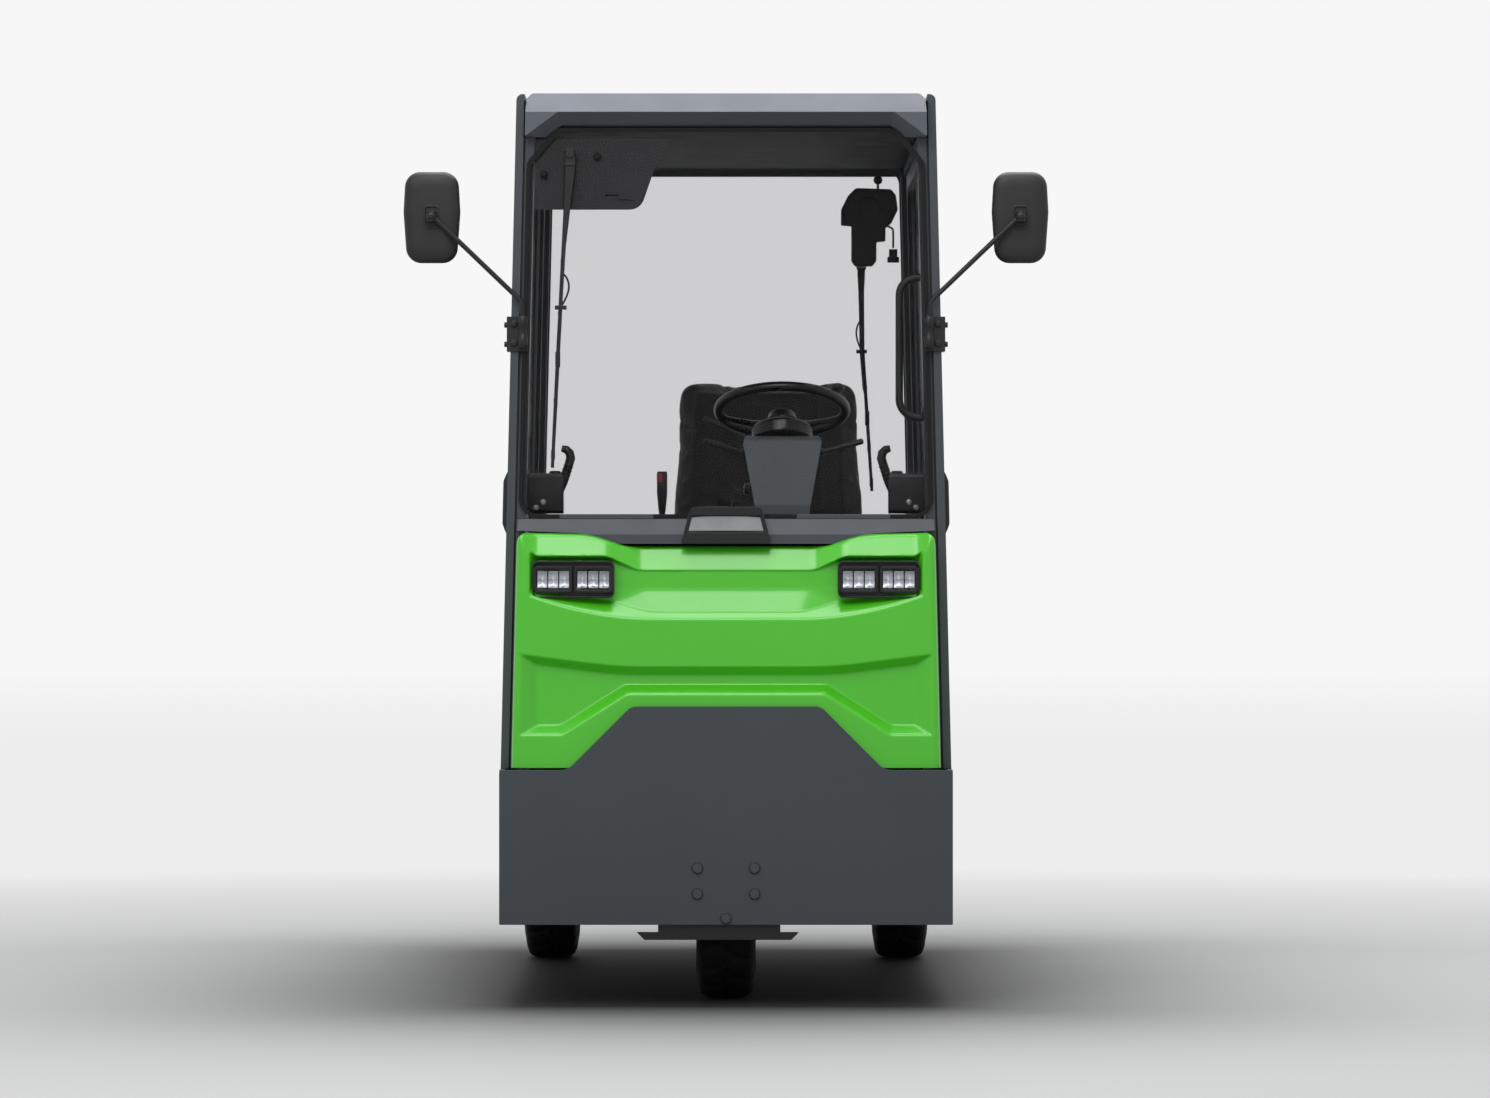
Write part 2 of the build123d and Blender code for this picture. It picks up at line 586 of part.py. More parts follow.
def rear_wall():
    """Cab back panel with its window cut."""
    edge = SIDE_T + POST_GROOVE + GAP
    rows = [(CEILING_HALF - 2, CEILING_Z - GAP, 0), (CEILING_HALF - 2, ROOF_Z0 - GAP, 0)]
    rows += [(side(ROOF_Z0) - edge, ROOF_Z0 - GAP, 0), (side(Z_WAIST) - edge, Z_WAIST, 0)]
    rows += [(side(Z_WAIST) - edge, FLOOR_Z, 0)]
    shape = slab_y(mirrored(rows), REAR_WALL_Y, REAR_WALL_Y + REAR_WALL_T)
    return shape - slab_y(rear_window_outline(0), REAR_WALL_Y - 1, REAR_WALL_Y + REAR_WALL_T + 1)


def rear_window():
    y0 = REAR_WALL_Y + REAR_WALL_T + GAP
    return slab_y(rear_window_outline(10), y0, y0 + 5)


def dash_panel():
    """Front wall of the footwell and the shelf under the windshield."""
    half = HALF - DOOR_T - MOVE_GAP - 26
    y0 = FRONT_POST_Y0 + 2
    shape = box(-half, half, y0, y0 + 8, FOOTBOARD_Z + FLOOR_T + GAP, GLASS_Z0 - 30)
    shelf = [(y0, GLASS_Z0 - 34, 0), (y0, GLASS_Z0 - 8, 0), (y0 + 60, GLASS_Z0 - 4, 10)]
    shelf += [(y0 + 92, GLASS_Z0 - 40, 10), (y0 + 84, GLASS_Z0 - 52, 0), (y0 + 8, GLASS_Z0 - 40, 0)]
    return shape + slab_x(shelf, -half, half)


def wiper_cover():
    """Cover plate inside the top corner of the windshield."""
    x = 92 - HALF
    rows = [(x, ROOF_Z0 - 4, 0), (x + 290, ROOF_Z0 - 4, 0), (x + 248, ROOF_Z0 - 74, 8)]
    rows += [(x + 218, ROOF_Z0 - 161, 34), (x, ROOF_Z0 - 161, 0)]
    return slab_y(rows, FRONT_POST_Y0 + GAP, FRONT_POST_Y0 + 4)


# ---------------------------------------------------------------- wipers
REAR_WIPER_X = HALF - 170.0
REAR_WIPER_Z = ROOF_Z0 - 222.0


def wiper(x, z_top, reach, lean, y_glass, out):
    """Wiper seen square on: spindle, arm and blade; out is -1 in front of the glass, 1 behind."""
    z_low = z_top - reach
    y_arm = y_glass + out * 16
    y_blade = y_glass + out * 7
    foot_x = x + lean
    blade_h = reach * 0.73
    mid_z = z_low + blade_h * 0.6
    mid_x = x + lean * 0.45
    spindle = rod((x, y_glass + out * GAP, z_top), (x, y_glass + out * 24, z_top), 12)
    arm = rod((x, y_arm, z_top), (mid_x, y_arm, mid_z), 4)
    link_z = mid_z + 7
    link = rod((mid_x, y_arm + out * 6, link_z), (mid_x, y_blade, link_z), 6)
    blade = box(-6, 6, -5, 5, 0, blade_h)
    tilt = math.degrees(math.atan2(lean * 0.55, mid_z - z_low))
    blade = Pos(foot_x, y_blade, z_low) * Rot(0, tilt * -1.0, 0) * blade
    return spindle + arm + link + blade


def front_wiper():
    reach = GLASS_Z1 - GLASS_Z0 - 161
    return wiper(154 - HALF, GLASS_Z1 - 59, reach, -38.0, GLASS_Y, -1)


def rear_wiper():
    reach = REAR_WIPER_Z - REAR_SILL_Z - 109
    return wiper(REAR_WIPER_X, REAR_WIPER_Z, reach, 32.0, REAR_WALL_Y + REAR_WALL_T + GAP + 5, 1)


def rear_wiper_motor():
    """Wiper motor inside the rear window, with its strap to the ceiling and its stiff lead and plug."""
    y1 = REAR_WALL_Y - GAP
    y0 = y1 - 60
    edge = [(-30, 193, 12), (75, 193, 14), (92, 148, 14), (80, 88, 14), (42, 78, 10)]
    edge += [(34, 2, 14), (-24, 2, 14), (-26, 86, 8), (-52, 110, 8), (-50, 158, 8)]
    rows = [(REAR_WIPER_X + across, REAR_WIPER_Z + up, radius) for across, up, radius in edge]
    motor = slab_y(rows, y0, y1 - 20)
    strap_x = REAR_WIPER_X + 15
    motor += box(strap_x, strap_x + 20, y0 + 8, y0 + 14, REAR_WIPER_Z + 178, CEILING_Z - GAP)
    lead_x = REAR_WIPER_X + 72
    plug_z = REAR_WIPER_Z + 45
    motor += rod((lead_x, y0 + 20, REAR_WIPER_Z + 96), (lead_x, y0 + 20, plug_z - 1), 3)
    return motor + box(lead_x - 14, lead_x + 14, y0 + 12, y0 + 28, plug_z - 37, plug_z)


# ---------------------------------------------------------------- driver's place
def battery_hood():
    """Hood that carries the seat, open underneath over the battery."""
    half = HOOD_HALF
    z0 = FLOOR_Z + FLOOR_T + GAP
    rows = [(HOOD_Y0, z0, 0), (HOOD_Y0, HOOD_Z1 - 40, 20), (HOOD_Y0 + 40, HOOD_Z1, 20)]
    rows += [(REAR_WALL_Y - GAP, HOOD_Z1, 0), (REAR_WALL_Y - GAP, z0, 0)]
    shape = slab_x(rows, -half, half)
    return shape - box(8 - half, half - 8, HOOD_Y0 + 8, REAR_WALL_Y - 8, z0 - 1, HOOD_Z1 - 48)


def battery():
    z0 = FLOOR_Z + FLOOR_T + GAP
    half = HOOD_HALF - 58
    return box(-half, half, HOOD_Y0 + 30, REAR_WALL_Y - 40, z0, HOOD_Z1 - 74)


def seat_pan():
    """Suspension box under the seat."""
    z0 = HOOD_Z1 + GAP
    y0 = HOOD_Y0 + 80
    y1 = SEAT_BACK_Y + 40
    shape = box(SEAT_X - 190, SEAT_X + 190, y0, y1, z0, z0 + 22)
    shape += box(SEAT_X - 170, SEAT_X + 170, y0 + 20, y1 - 20, z0 + 22, z0 + 70)
    return shape


def seat_cushion():
    z0 = HOOD_Z1 + 70 + 2 * GAP
    y0 = HOOD_Y0 + 20
    y1 = SEAT_BACK_Y - 30
    rows = [(y0, z0, 20), (y0, z0 + 95, 38), (y1, z0 + 80, 20), (y1, z0, 20)]
    return slab_x(rows, SEAT_X - SEAT_W / 2, SEAT_X + SEAT_W / 2)


def seat_back():
    z0 = HOOD_Z1 + 72.0
    half = SEAT_W / 2
    rows = [(SEAT_X - half + 23, SEAT_TOP_Z, 42), (SEAT_X + half - 23, SEAT_TOP_Z, 42)]
    rows += [(SEAT_X + half, z0, 20), (SEAT_X - half, z0, 20)]
    return slab_y(rows, SEAT_BACK_Y, SEAT_BACK_Y + SEAT_BACK_T)


def seat_bracket():
    """Back rest hinge plates between the pan and the back rest."""
    y0 = SEAT_BACK_Y + SEAT_BACK_T
    return box(SEAT_X - 60, SEAT_X + 60, y0 + GAP, y0 + 25, HOOD_Z1 + GAP, HOOD_Z1 + 340)


def belt_buckle():
    x = SEAT_X - SEAT_W / 2 - 20
    y = SEAT_BACK_Y - 70
    z = HOOD_Z1 + 345
    shape = box(x - 12, x + 12, y, y + 18, z, z + 95)
    return shape + box(x - 5, x + 5, y + 4, y + 12, HOOD_Z1 + GAP, z)


def steering_frame():
    """Plane of the steering wheel, its normal up the column."""
    tilt = math.radians(WHEEL_TILT)
    normal = (0, math.sin(tilt), math.cos(tilt))
    return Plane(origin=(WHEEL_X, WHEEL_Y, WHEEL_Z), x_dir=(1, 0, 0), z_dir=normal)


def steering_wheel():
    """Rim, two-and-one spokes, hub and spinner knob."""
    section = Pos(WHEEL_R, 0) * RectangleRounded(2 * WHEEL_RIM_R, 2 * WHEEL_RIM_R, WHEEL_RIM_R - 1.5)
    shape = Pos(0, 0, -22) * Cylinder(40, 24)
    for angle in (20, 90, 160):
        shape += Rot(0, 0, angle) * Pos(WHEEL_R / 2, 0, -10) * Rot(0, -7, 0) * Box(WHEEL_R - 10, 26, 8)
    shape += revolve(Plane.XZ * section, axis=Axis.Z)
    knob = Rot(0, 0, -30) * Pos(WHEEL_R, 0, 28) * Cylinder(17, 46)
    knob += Pos(0, 0, -50) * Cylinder(STEER_SHAFT_R, 40)
    return steering_frame() * (shape + knob)


def steering_console():
    """Tapered column from the footboard up to the steering wheel's collar."""
    top_z = WHEEL_Z - 62
    floor_z = FOOTBOARD_Z + FLOOR_T + GAP
    rows = [(WHEEL_Y - 90, floor_z, 0), (WHEEL_Y - 230, floor_z, 0), (WHEEL_Y - 170, top_z - 160, 20)]
    rows += [(WHEEL_Y - 110, top_z, 20), (WHEEL_Y + 20, top_z - 10, 20), (WHEEL_Y - 20, top_z - 170, 30)]
    lower = slab_x(rows, WHEEL_X - 130, WHEEL_X + 170)
    wedge = [(WHEEL_X + 94, top_z + 4, 20), (WHEEL_X + 62, top_z - 170, 0), (WHEEL_X + 62, FOOTBOARD_Z, 0)]
    wedge += [(WHEEL_X - 62, FOOTBOARD_Z, 0), (WHEEL_X - 62, top_z - 170, 0), (WHEEL_X - 94, top_z + 4, 20)]
    shape = lower & slab_y(wedge, WHEEL_Y - 270, WHEEL_Y + 80)
    collar = steering_frame() * (Pos(0, 0, -58) * Cylinder(60, 36))
    shaft_bore = steering_frame() * (Pos(0, 0, -57) * Cylinder(STEER_SHAFT_R + PIN_CLEARANCE, 36))
    return shape + collar - shaft_bore


def console_controls():
    """Travel and lamp levers either side of the column, and the key switch."""
    y = WHEEL_Y - 60
    z = WHEEL_Z - 100
    left = rod((WHEEL_X - 89.5, y, z), (WHEEL_X - 180, y, z + 27), 7)
    right = rod((WHEEL_X + 89.5, y, z), (WHEEL_X + 186, y, z + 27), 7)
    return [left, right]


def pedals():
    """Accelerator and brake pedals on the footboard."""
    z0 = FOOTBOARD_Z + FLOOR_T + GAP
    y0 = FRONT_AXLE_Y + STEM_R + 14
    parts = []
    for x, width in ((WHEEL_X + 120, 60), (WHEEL_X - 120, 80)):
        rows = [(y0, z0, 0), (y0 + 40, z0, 0), (y0 + 80, z0 + 90, 0), (y0 + 66, z0 + 96, 0)]
        parts.append(slab_x(rows, x - width / 2, x + width / 2))
    return parts


def grab_handle():
    y = FRONT_POST_Y0 + 30
    post = SIDE_T + POST_GROOVE + POST_W + 2 * GAP
    top_x = side(GRAB_Z1) - post
    x = top_x - GRAB_REACH
    points = [(top_x, y, GRAB_Z1), (x, y, GRAB_Z1), (x, y, GRAB_Z0), (side(GRAB_Z0) - post, y, GRAB_Z0)]
    return tube_path(points, [40, 40], GRAB_R)


# ---------------------------------------------------------------- mirrors
MIRROR_X = HALF + 153.0
MIRROR_Z = ROOF_TOP_Z - 277.0
MIRROR_Y = GLASS_Y - 35.0
BRACKET_Z0 = MIRROR_Z - 297.0
BRACKET_Z1 = BRACKET_Z0 + 77.0


def mirror_arm():
    """Angle bracket round the front pillar, with its bent tube."""
    x = side(BRACKET_Z0)
    y0 = SIDE_PLATE_Y0 - GAP
    front = box(x - 38, x + 8, y0 - 6, y0, BRACKET_Z0, BRACKET_Z1)
    flank = box(x + 1, x + 8, y0, y0 + 48, BRACKET_Z0, BRACKET_Z1)
    socket = rod((x - 28, y0 - 16, BRACKET_Z0 + 6), (x - 28, y0 - 16, BRACKET_Z1), 10)
    foot = (x - 28, y0 - 16, BRACKET_Z1 - 4)
    knee = (x - 26, y0 - 18, BRACKET_Z1 + 32)
    tube = tube_path([foot, knee, (MIRROR_X - 6, MIRROR_Y, MIRROR_Z - 2)], [14], 5.5)
    clamp = Pos(MIRROR_X, MIRROR_Y, MIRROR_Z) * Sphere(15)
    return front + flank + socket + tube + clamp


def mirror_head():
    """Mirror housing with a domed back, behind its clamp."""
    half_w = 63.0
    half_h = 101.0
    rows = [(MIRROR_X - half_w + 8, MIRROR_Z - half_h, 22), (MIRROR_X + half_w - 4, MIRROR_Z - half_h, 22)]
    rows += [(MIRROR_X + half_w, MIRROR_Z + half_h, 22), (MIRROR_X - half_w, MIRROR_Z + half_h, 22)]
    y0 = MIRROR_Y + 15 + GAP
    dome = extrude(front_plane(y0 + 12) * outline(rows), amount=12, taper=50)
    return slab_y(rows, y0 + 12, y0 + 30) + dome


# ---------------------------------------------------------------- doors
def door_window_rows(grow):
    y0 = DOOR_Y0 + 60 - grow
    y1 = DOOR_Y1 - 60 + grow
    z0 = DOOR_SILL_Z - grow
    z1 = DOOR_HEAD_Z + grow
    return [(y0, z0, 50), (y1, z0, 50), (y1, z1, 60), (y0, z1, 60)]


def door_pressing():
    """Shallow rounded panel pressed into the door below its window."""
    y0 = DOOR_Y0 + 110
    y1 = DOOR_Y1 - 90
    z0 = DOOR_Z0 + 70
    z1 = DOOR_SILL_Z - 70
    rows = [(y0, z0, 40), (y1, z0, 40), (y1, z1, 40), (y0, z1, 40)]
    return side_layer(DOOR_PRESSING, -1, y0, y1, z0, z1) & slab_x(rows, HALF - 100, HALF + 10)


def door_frame():
    """Whole-thickness door with its window cut, lower pressing and hinge barrels."""
    shape = side_layer(DOOR_T, 0, DOOR_Y0, DOOR_Y1, DOOR_Z0, DOOR_Z1)
    shape -= slab_x(door_window_rows(0), HALF - 120, HALF + 20)
    shape -= door_pressing()
    for z in HINGE_LEVELS:
        shape += hinge_barrel(z, 26) + hinge_leaf(z, 26)
        shape -= hinge_bore(z)
    return shape


def hinge_point(z):
    return (side(z) + HINGE_OUT, HINGE_Y, z)


def hinge_barrel(z, half):
    return rod(hinge_point(z - half), hinge_point(z + half), HINGE_R)


def hinge_bore(z):
    return rod(hinge_point(z - 40), hinge_point(z + 40), HINGE_PIN_R + PIN_CLEARANCE)


def hinge_leaf(z, half):
    """Leaf from the barrel to the door's outer face."""
    rows = [(side(z + half) + HINGE_OUT, z + half, 0), (side(z - half) + HINGE_OUT, z - half, 0)]
    rows += [(side(z - half) - 1, z - half, 0), (side(z + half) - 1, z + half, 0)]
    return slab_y(rows, DOOR_Y1 - 40, DOOR_Y1 + 1)


def door_hinge_pins():
    """Hinge pins and the leaves that hold them on the rear pillar."""
    parts = []
    for z in HINGE_LEVELS:
        pin = rod(hinge_point(z - 26), hinge_point(z + 40), HINGE_PIN_R)
        knuckle = rod(hinge_point(z + 26 + GAP), hinge_point(z + 46), HINGE_R)
        rows = [(side(z + 46) + HINGE_OUT, z + 46, 0), (side(z + 27) + HINGE_OUT, z + 27, 0)]
        rows += [(side(z + 27) + GAP, z + 27, 0), (side(z + 46) + GAP, z + 46, 0)]
        leaf = slab_y(rows, HINGE_Y, HINGE_Y + 44)
        parts.append(pin + knuckle + leaf)
    return parts


def door_glass():
    pane = side_layer(18, 18 - DOOR_GLASS_T, DOOR_Y0, DOOR_Y1, DOOR_SILL_Z - 100, DOOR_Z1 + 12)
    return pane & slab_x(door_window_rows(-GAP), HALF - 120, HALF + 20)


def door_latch():
    """Outer pull, inner latch case and its release lever."""
    pull = side_layer(-GAP, -11, DOOR_Y0 + 60, DOOR_Y0 + 86, LATCH_Z - 50, LATCH_Z + 100)
    x = side(LATCH_Z + 70) - DOOR_T - GAP
    y = DOOR_Y0 + 50
    case = box(x - 86, x, y - 28, y + 34, LATCH_Z, LATCH_Z + 70)
    lever = rod((x - 76, y, LATCH_Z + 50), (x - 106, y, LATCH_Z + 128), 10)
    knob = rod((x - 109, y, LATCH_Z + 122), (x - 90, y, LATCH_Z + 147), 11.5)
    return [pull, case + lever + knob]


# ---------------------------------------------------------------- rear body
def rear_body():
    """Rear wings with wheel arches, back plate and a lip for the deck lid."""
    arch_r = TYRE_R + ARCH_GAP
    rows = [(REAR_PLATE_Y0 + GAP, Z_SKIRT, 0), (BODY_BACK_Y, Z_SKIRT, 0), (BODY_BACK_Y, DECK_Z, 0)]
    rows += [(REAR_BODY_Y0, DECK_Z, 0), (REAR_BODY_Y0, Z_WAIST, 0), (REAR_PLATE_Y0 + GAP, Z_WAIST, 0)]
    whole = side_layer(PLATE_T, 0, REAR_PLATE_Y0 + GAP, BODY_BACK_Y, Z_SKIRT, DECK_Z)
    arch = rod((HALF - 200, REAR_AXLE_Y, TYRE_R), (HALF + 20, REAR_AXLE_Y, TYRE_R), arch_r)
    below = box(HALF - 200, HALF + 20, REAR_AXLE_Y - arch_r, REAR_AXLE_Y + arch_r, 0, TYRE_R)
    wing = (whole & slab_x(rows, HALF - 100, HALF + 10)) - arch - below
    back_rows = [(side(DECK_Z) - PLATE_T, DECK_Z, 0), (HALF - PLATE_T, Z_WAIST, 0), (HALF - PLATE_T, Z_SKIRT, 0)]
    shape = slab_y(mirrored(back_rows), BODY_BACK_Y - PLATE_T, BODY_BACK_Y)
    for part in both(wing):
        shape += part
    front_rows = [(side(DECK_Z) - PLATE_T, DECK_Z, 0), (HALF - PLATE_T, Z_WAIST, 0)]
    front_rows += [(HALF - PLATE_T, CHASSIS_Z1 + 1, 0)]
    return shape + slab_y(mirrored(front_rows), REAR_BODY_Y0, REAR_BODY_Y0 + 6)


def rear_lid():
    """Flat deck lid over the drive, hinged along its front edge."""
    half = side(DECK_Z) - 2
    rows = [(half, REAR_BODY_Y0 + 14, 8), (half, BODY_BACK_Y + 4, 24)]
    return slab_z(mirrored(rows), DECK_Z + GAP, DECK_Z + GAP + LID_T)


def drive_motor():
    return box(-170, 170, REAR_AXLE_Y - 110, REAR_AXLE_Y + 110, TYRE_R + 105 + GAP, TYRE_R + 330)


def tail_lamps():
    x0 = HALF - 130
    x1 = HALF - 30
    z0 = DECK_Z - 140
    z1 = DECK_Z - 60
    rows = [(x0, z0, 12), (x1, z0, 12), (x1, z1, 12), (x0, z1, 12)]
    base = slab_y(rows, BODY_BACK_Y + GAP, BODY_BACK_Y + 10)
    inner = [(x0 + 4, z0 + 4, 9), (x1 - 4, z0 + 4, 9), (x1 - 4, z1 - 4, 9), (x0 + 4, z1 - 4, 9)]
    lens = extrude(front_plane(BODY_BACK_Y + 10) * outline(inner), amount=-16, taper=14)
    return both(base + lens)


JAW_LEVELS = (250.0, 320.0, 390.0)
JAW_T = 14.0
TOW_PIN_R = 14.0
TOW_PIN_Y = BODY_BACK_Y + 46.0


def tow_jaw():
    """Two-height coupling: three shelves on a back plate, bored for the pin."""
    shape = box(-62, 62, BODY_BACK_Y + GAP, BODY_BACK_Y + 14, JAW_LEVELS[0] - 10, JAW_LEVELS[2] + JAW_T + 10)
    for z in JAW_LEVELS:
        rows = [(62, BODY_BACK_Y + 10, 0), (62, REAR_Y - 30, 20), (34, REAR_Y, 12)]
        shape += slab_z(mirrored(rows), z, z + JAW_T)
    bore = rod((0, TOW_PIN_Y, 200), (0, TOW_PIN_Y, 500), TOW_PIN_R + PIN_CLEARANCE)
    return shape - bore


def tow_pin():
    z1 = JAW_LEVELS[2] + JAW_T + GAP
    shape = rod((0, TOW_PIN_Y, JAW_LEVELS[0] - 6), (0, TOW_PIN_Y, z1), TOW_PIN_R)
    shape += rod((0, TOW_PIN_Y, z1), (0, TOW_PIN_Y, z1 + 8), 22)
    shape += rod((0, TOW_PIN_Y, z1 + 8), (0, TOW_PIN_Y, z1 + 50), 9)
    return shape + rod((-34, TOW_PIN_Y, z1 + 56), (34, TOW_PIN_Y, z1 + 56), 8)


def save(name, shapes):
    """Write one node; a list becomes one file of separate solids."""
    if isinstance(shapes, list):
        shapes = Compound(children=[solid for shape in shapes for solid in shape.solids()])
    export_step(shapes, "parts/" + name + ".step")


def main():
    os.makedirs("parts", exist_ok=True)
    wheel_at = {"left": Pos(REAR_WHEEL_X, REAR_AXLE_Y, TYRE_R)}
    wheel_at["right"] = Pos(-REAR_WHEEL_X, REAR_AXLE_Y, TYRE_R) * Rot(0, 0, 180)
    save("chassis_rails", chassis_rails())
    save("cross_members", cross_members())
    save("side_sills", side_sills())
    save("steering_bridge", steering_bridge())
    save("steering_fork", steering_fork())
    save("rear_axle", rear_axle())
    save("drive_motor", drive_motor())
    save("battery", battery())
    save("battery_hood", battery_hood())
    save("cab_floor", cab_floor())
    save("front_bumper", front_bumper())
    save("front_tow_plate", front_tow_plate())
    save("front_panel", front_panel())
    save("head_lamps", head_lamps())
    save("lamp_reflectors", lamp_reflectors())
    save("cowl", cowl())
    save("centre_lamp", centre_lamp())
    save("centre_lamp_lens", centre_lamp_lens())
    save("cab_pillars", cab_pillars())
    save("roof", roof())
    save("windshield", windshield())
    save("windshield_seal", windshield_seal())
    save("rear_wall", rear_wall())
    save("rear_window", rear_window())
    save("dash_panel", dash_panel())
    save("wiper_cover", wiper_cover())
    save("front_wiper", front_wiper())
    save("rear_wiper", rear_wiper())
    save("rear_wiper_motor", rear_wiper_motor())
    save("seat_pan", [seat_pan(), seat_bracket()])
    save("seat_cushion", seat_cushion())
    save("seat_back", seat_back())
    save("belt_buckle", belt_buckle())
    save("steering_console", steering_console())
    save("steering_wheel", steering_wheel())
    save("console_controls", console_controls())
    save("pedals", pedals())
    save("grab_handle", grab_handle())
    save("mirror_arms", both(mirror_arm()))
    save("mirror_heads", both(mirror_head()))
    save("rear_body", rear_body())
    save("rear_lid", rear_lid())
    save("tail_lamps", tail_lamps())
    save("tow_jaw", tow_jaw())
    save("tow_pin", tow_pin())
    front_at = Pos(0, FRONT_AXLE_Y, TYRE_R)
    save("front_tyre", front_at * tyre())
    save("front_rim", front_at * rim(AXLE_PIN_R + PIN_CLEARANCE, TYRE_W / 2 + 6))
    pins = door_hinge_pins()
    save("door_hinge_pins", pins + [mirror(pin, about=Plane.YZ) for pin in pins])
    for name, place in wheel_at.items():
        save("rear_tyre_" + name, place * tyre())
        save("rear_rim_" + name, place * rim(AXLE_PIN_R + PIN_CLEARANCE, 34))
    latch = door_latch()
    for name, frame in left_right(door_frame()).items():
        save("door_frame_" + name, frame)
        save("door_glass_" + name, left_right(door_glass())[name])
        save("door_latch_" + name, [left_right(piece)[name] for piece in latch])


main()
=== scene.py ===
import json
import math

import bmesh
import bpy
import numpy as np
from mathutils import Matrix, Vector


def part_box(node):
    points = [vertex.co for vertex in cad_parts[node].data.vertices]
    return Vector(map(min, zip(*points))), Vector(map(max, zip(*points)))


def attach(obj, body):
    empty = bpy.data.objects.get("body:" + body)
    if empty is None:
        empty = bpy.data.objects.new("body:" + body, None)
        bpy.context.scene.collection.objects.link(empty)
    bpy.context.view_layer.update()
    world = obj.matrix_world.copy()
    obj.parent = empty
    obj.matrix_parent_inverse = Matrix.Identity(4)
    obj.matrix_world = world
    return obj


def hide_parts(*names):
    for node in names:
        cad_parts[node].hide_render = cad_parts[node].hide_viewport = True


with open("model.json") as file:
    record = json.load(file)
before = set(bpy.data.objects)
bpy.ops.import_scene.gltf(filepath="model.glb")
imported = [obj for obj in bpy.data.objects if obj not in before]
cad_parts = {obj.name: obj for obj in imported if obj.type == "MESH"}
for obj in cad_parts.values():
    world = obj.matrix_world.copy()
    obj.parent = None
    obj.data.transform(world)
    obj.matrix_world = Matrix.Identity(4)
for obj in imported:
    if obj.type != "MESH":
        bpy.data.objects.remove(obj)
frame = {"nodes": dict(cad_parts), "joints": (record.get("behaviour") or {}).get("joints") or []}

bl_info = {
    "name": "Three-wheel tow tractor",
    "version": (1, 0, 0),
    "blender": (4, 5, 0),
    "location": "View3D > Sidebar > Tow tractor",
    "description": "Dresses the packed frame of an electric tow tractor with a closed cab",
    "category": "Object",
}

MILLI = 0.001
NODES = frame["nodes"]
CHASSIS = "chassis"


def span(node):
    """Lowest and highest corner of a CAD node at rest, in millimetres."""
    low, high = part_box(node)
    return low / MILLI, high / MILLI


# ------------------------------------------------------------------ colours and sizes
def shade(red, green, blue):
    """Linear colour from display values of 0 to 255."""
    def linear(value):
        value /= 255
        return value / 12.92 if value <= 0.04045 else ((value + 0.055) / 1.055) ** 2.4
    return linear(red), linear(green), linear(blue)


def colour(name, description, *values):
    return bpy.props.FloatVectorProperty(
        name=name, description=description, default=shade(*values), size=3, min=0, max=1, subtype="COLOR")


def size(name, description, default, low=0.0, high=10.0):
    return bpy.props.FloatProperty(
        name=name, description=description, default=default, min=low, max=high, subtype="DISTANCE", unit="LENGTH")


def amount(name, description, default, low=0.0, high=100.0):
    return bpy.props.FloatProperty(name=name, description=description, default=default, min=low, max=high)


class TugColours(bpy.types.PropertyGroup):
    """Colours of the tractor's finishes"""
    lime: colour("Lime", "Moulded front cover", 74, 196, 27)
    bumper: colour("Bumper grey", "Steel front plate, wings and deck lid", 60, 66, 71)
    cab: colour("Cab grey", "Pillars, doors and scuttle", 64, 68, 72)
    roof: colour("Roof grey", "Roof moulding", 96, 101, 109)
    plastic: colour("Black plastic", "Covers, lamp housings and mirrors", 38, 38, 40)
    black_metal: colour("Black steel", "Wiper arms, brackets and handles", 24, 24, 26)
    rubber: colour("Rubber", "Tyres and seals", 20, 20, 20)
    console: colour("Console grey", "Steering column cover", 84, 90, 94)
    seat: colour("Seat cover", "Grained seat cover", 34, 34, 35)
    steel: colour("Bare steel", "Coupling pin and bolts", 150, 150, 152)
    iron: colour("Axle iron", "Axle, fork and gear case", 44, 45, 47)
    lamp: colour("Reflector", "Lamp reflectors", 214, 216, 220)
    tail: colour("Tail lamp red", "Tail lamp lens", 150, 14, 16)
    buckle: colour("Release red", "Belt buckle button", 196, 66, 70)
    floor: colour("Floor", "Studio floor", 196, 197, 197)


class TugSizes(bpy.types.PropertyGroup):
    """Sizes of the dressing"""
    tread: size("Tread depth", "Depth of the grooves between tyre blocks", 0.007)
    cover_step: size("Cover mesh step", "Spacing of the front cover's mesh", 0.0027, 0.002)
    seam: size("Seam width", "Width of the sewn seams on the seat", 0.005)
    edge: size("Edge rounding", "Rounding seen on the edges of metal parts", 0.0016)


class TugStage(bpy.types.PropertyGroup):
    """Camera, light and floor"""
    distance: size("Camera distance", "From the middle of the tractor to the camera", 12.994, 1.0, 40.0)
    height: size("Camera height", "Camera above the floor", 0.952)
    lens: amount("Lens", "Focal length in millimetres", 131.8, 10, 400)
    ambient: amount("Ambient", "Strength of the even light all round", 0.34)
    front: amount("Front light", "Watts of the large soft light over the camera", 245, 0, 5000)
    top: amount("Top light", "Watts of the soft light over the roof", 260, 0, 5000)


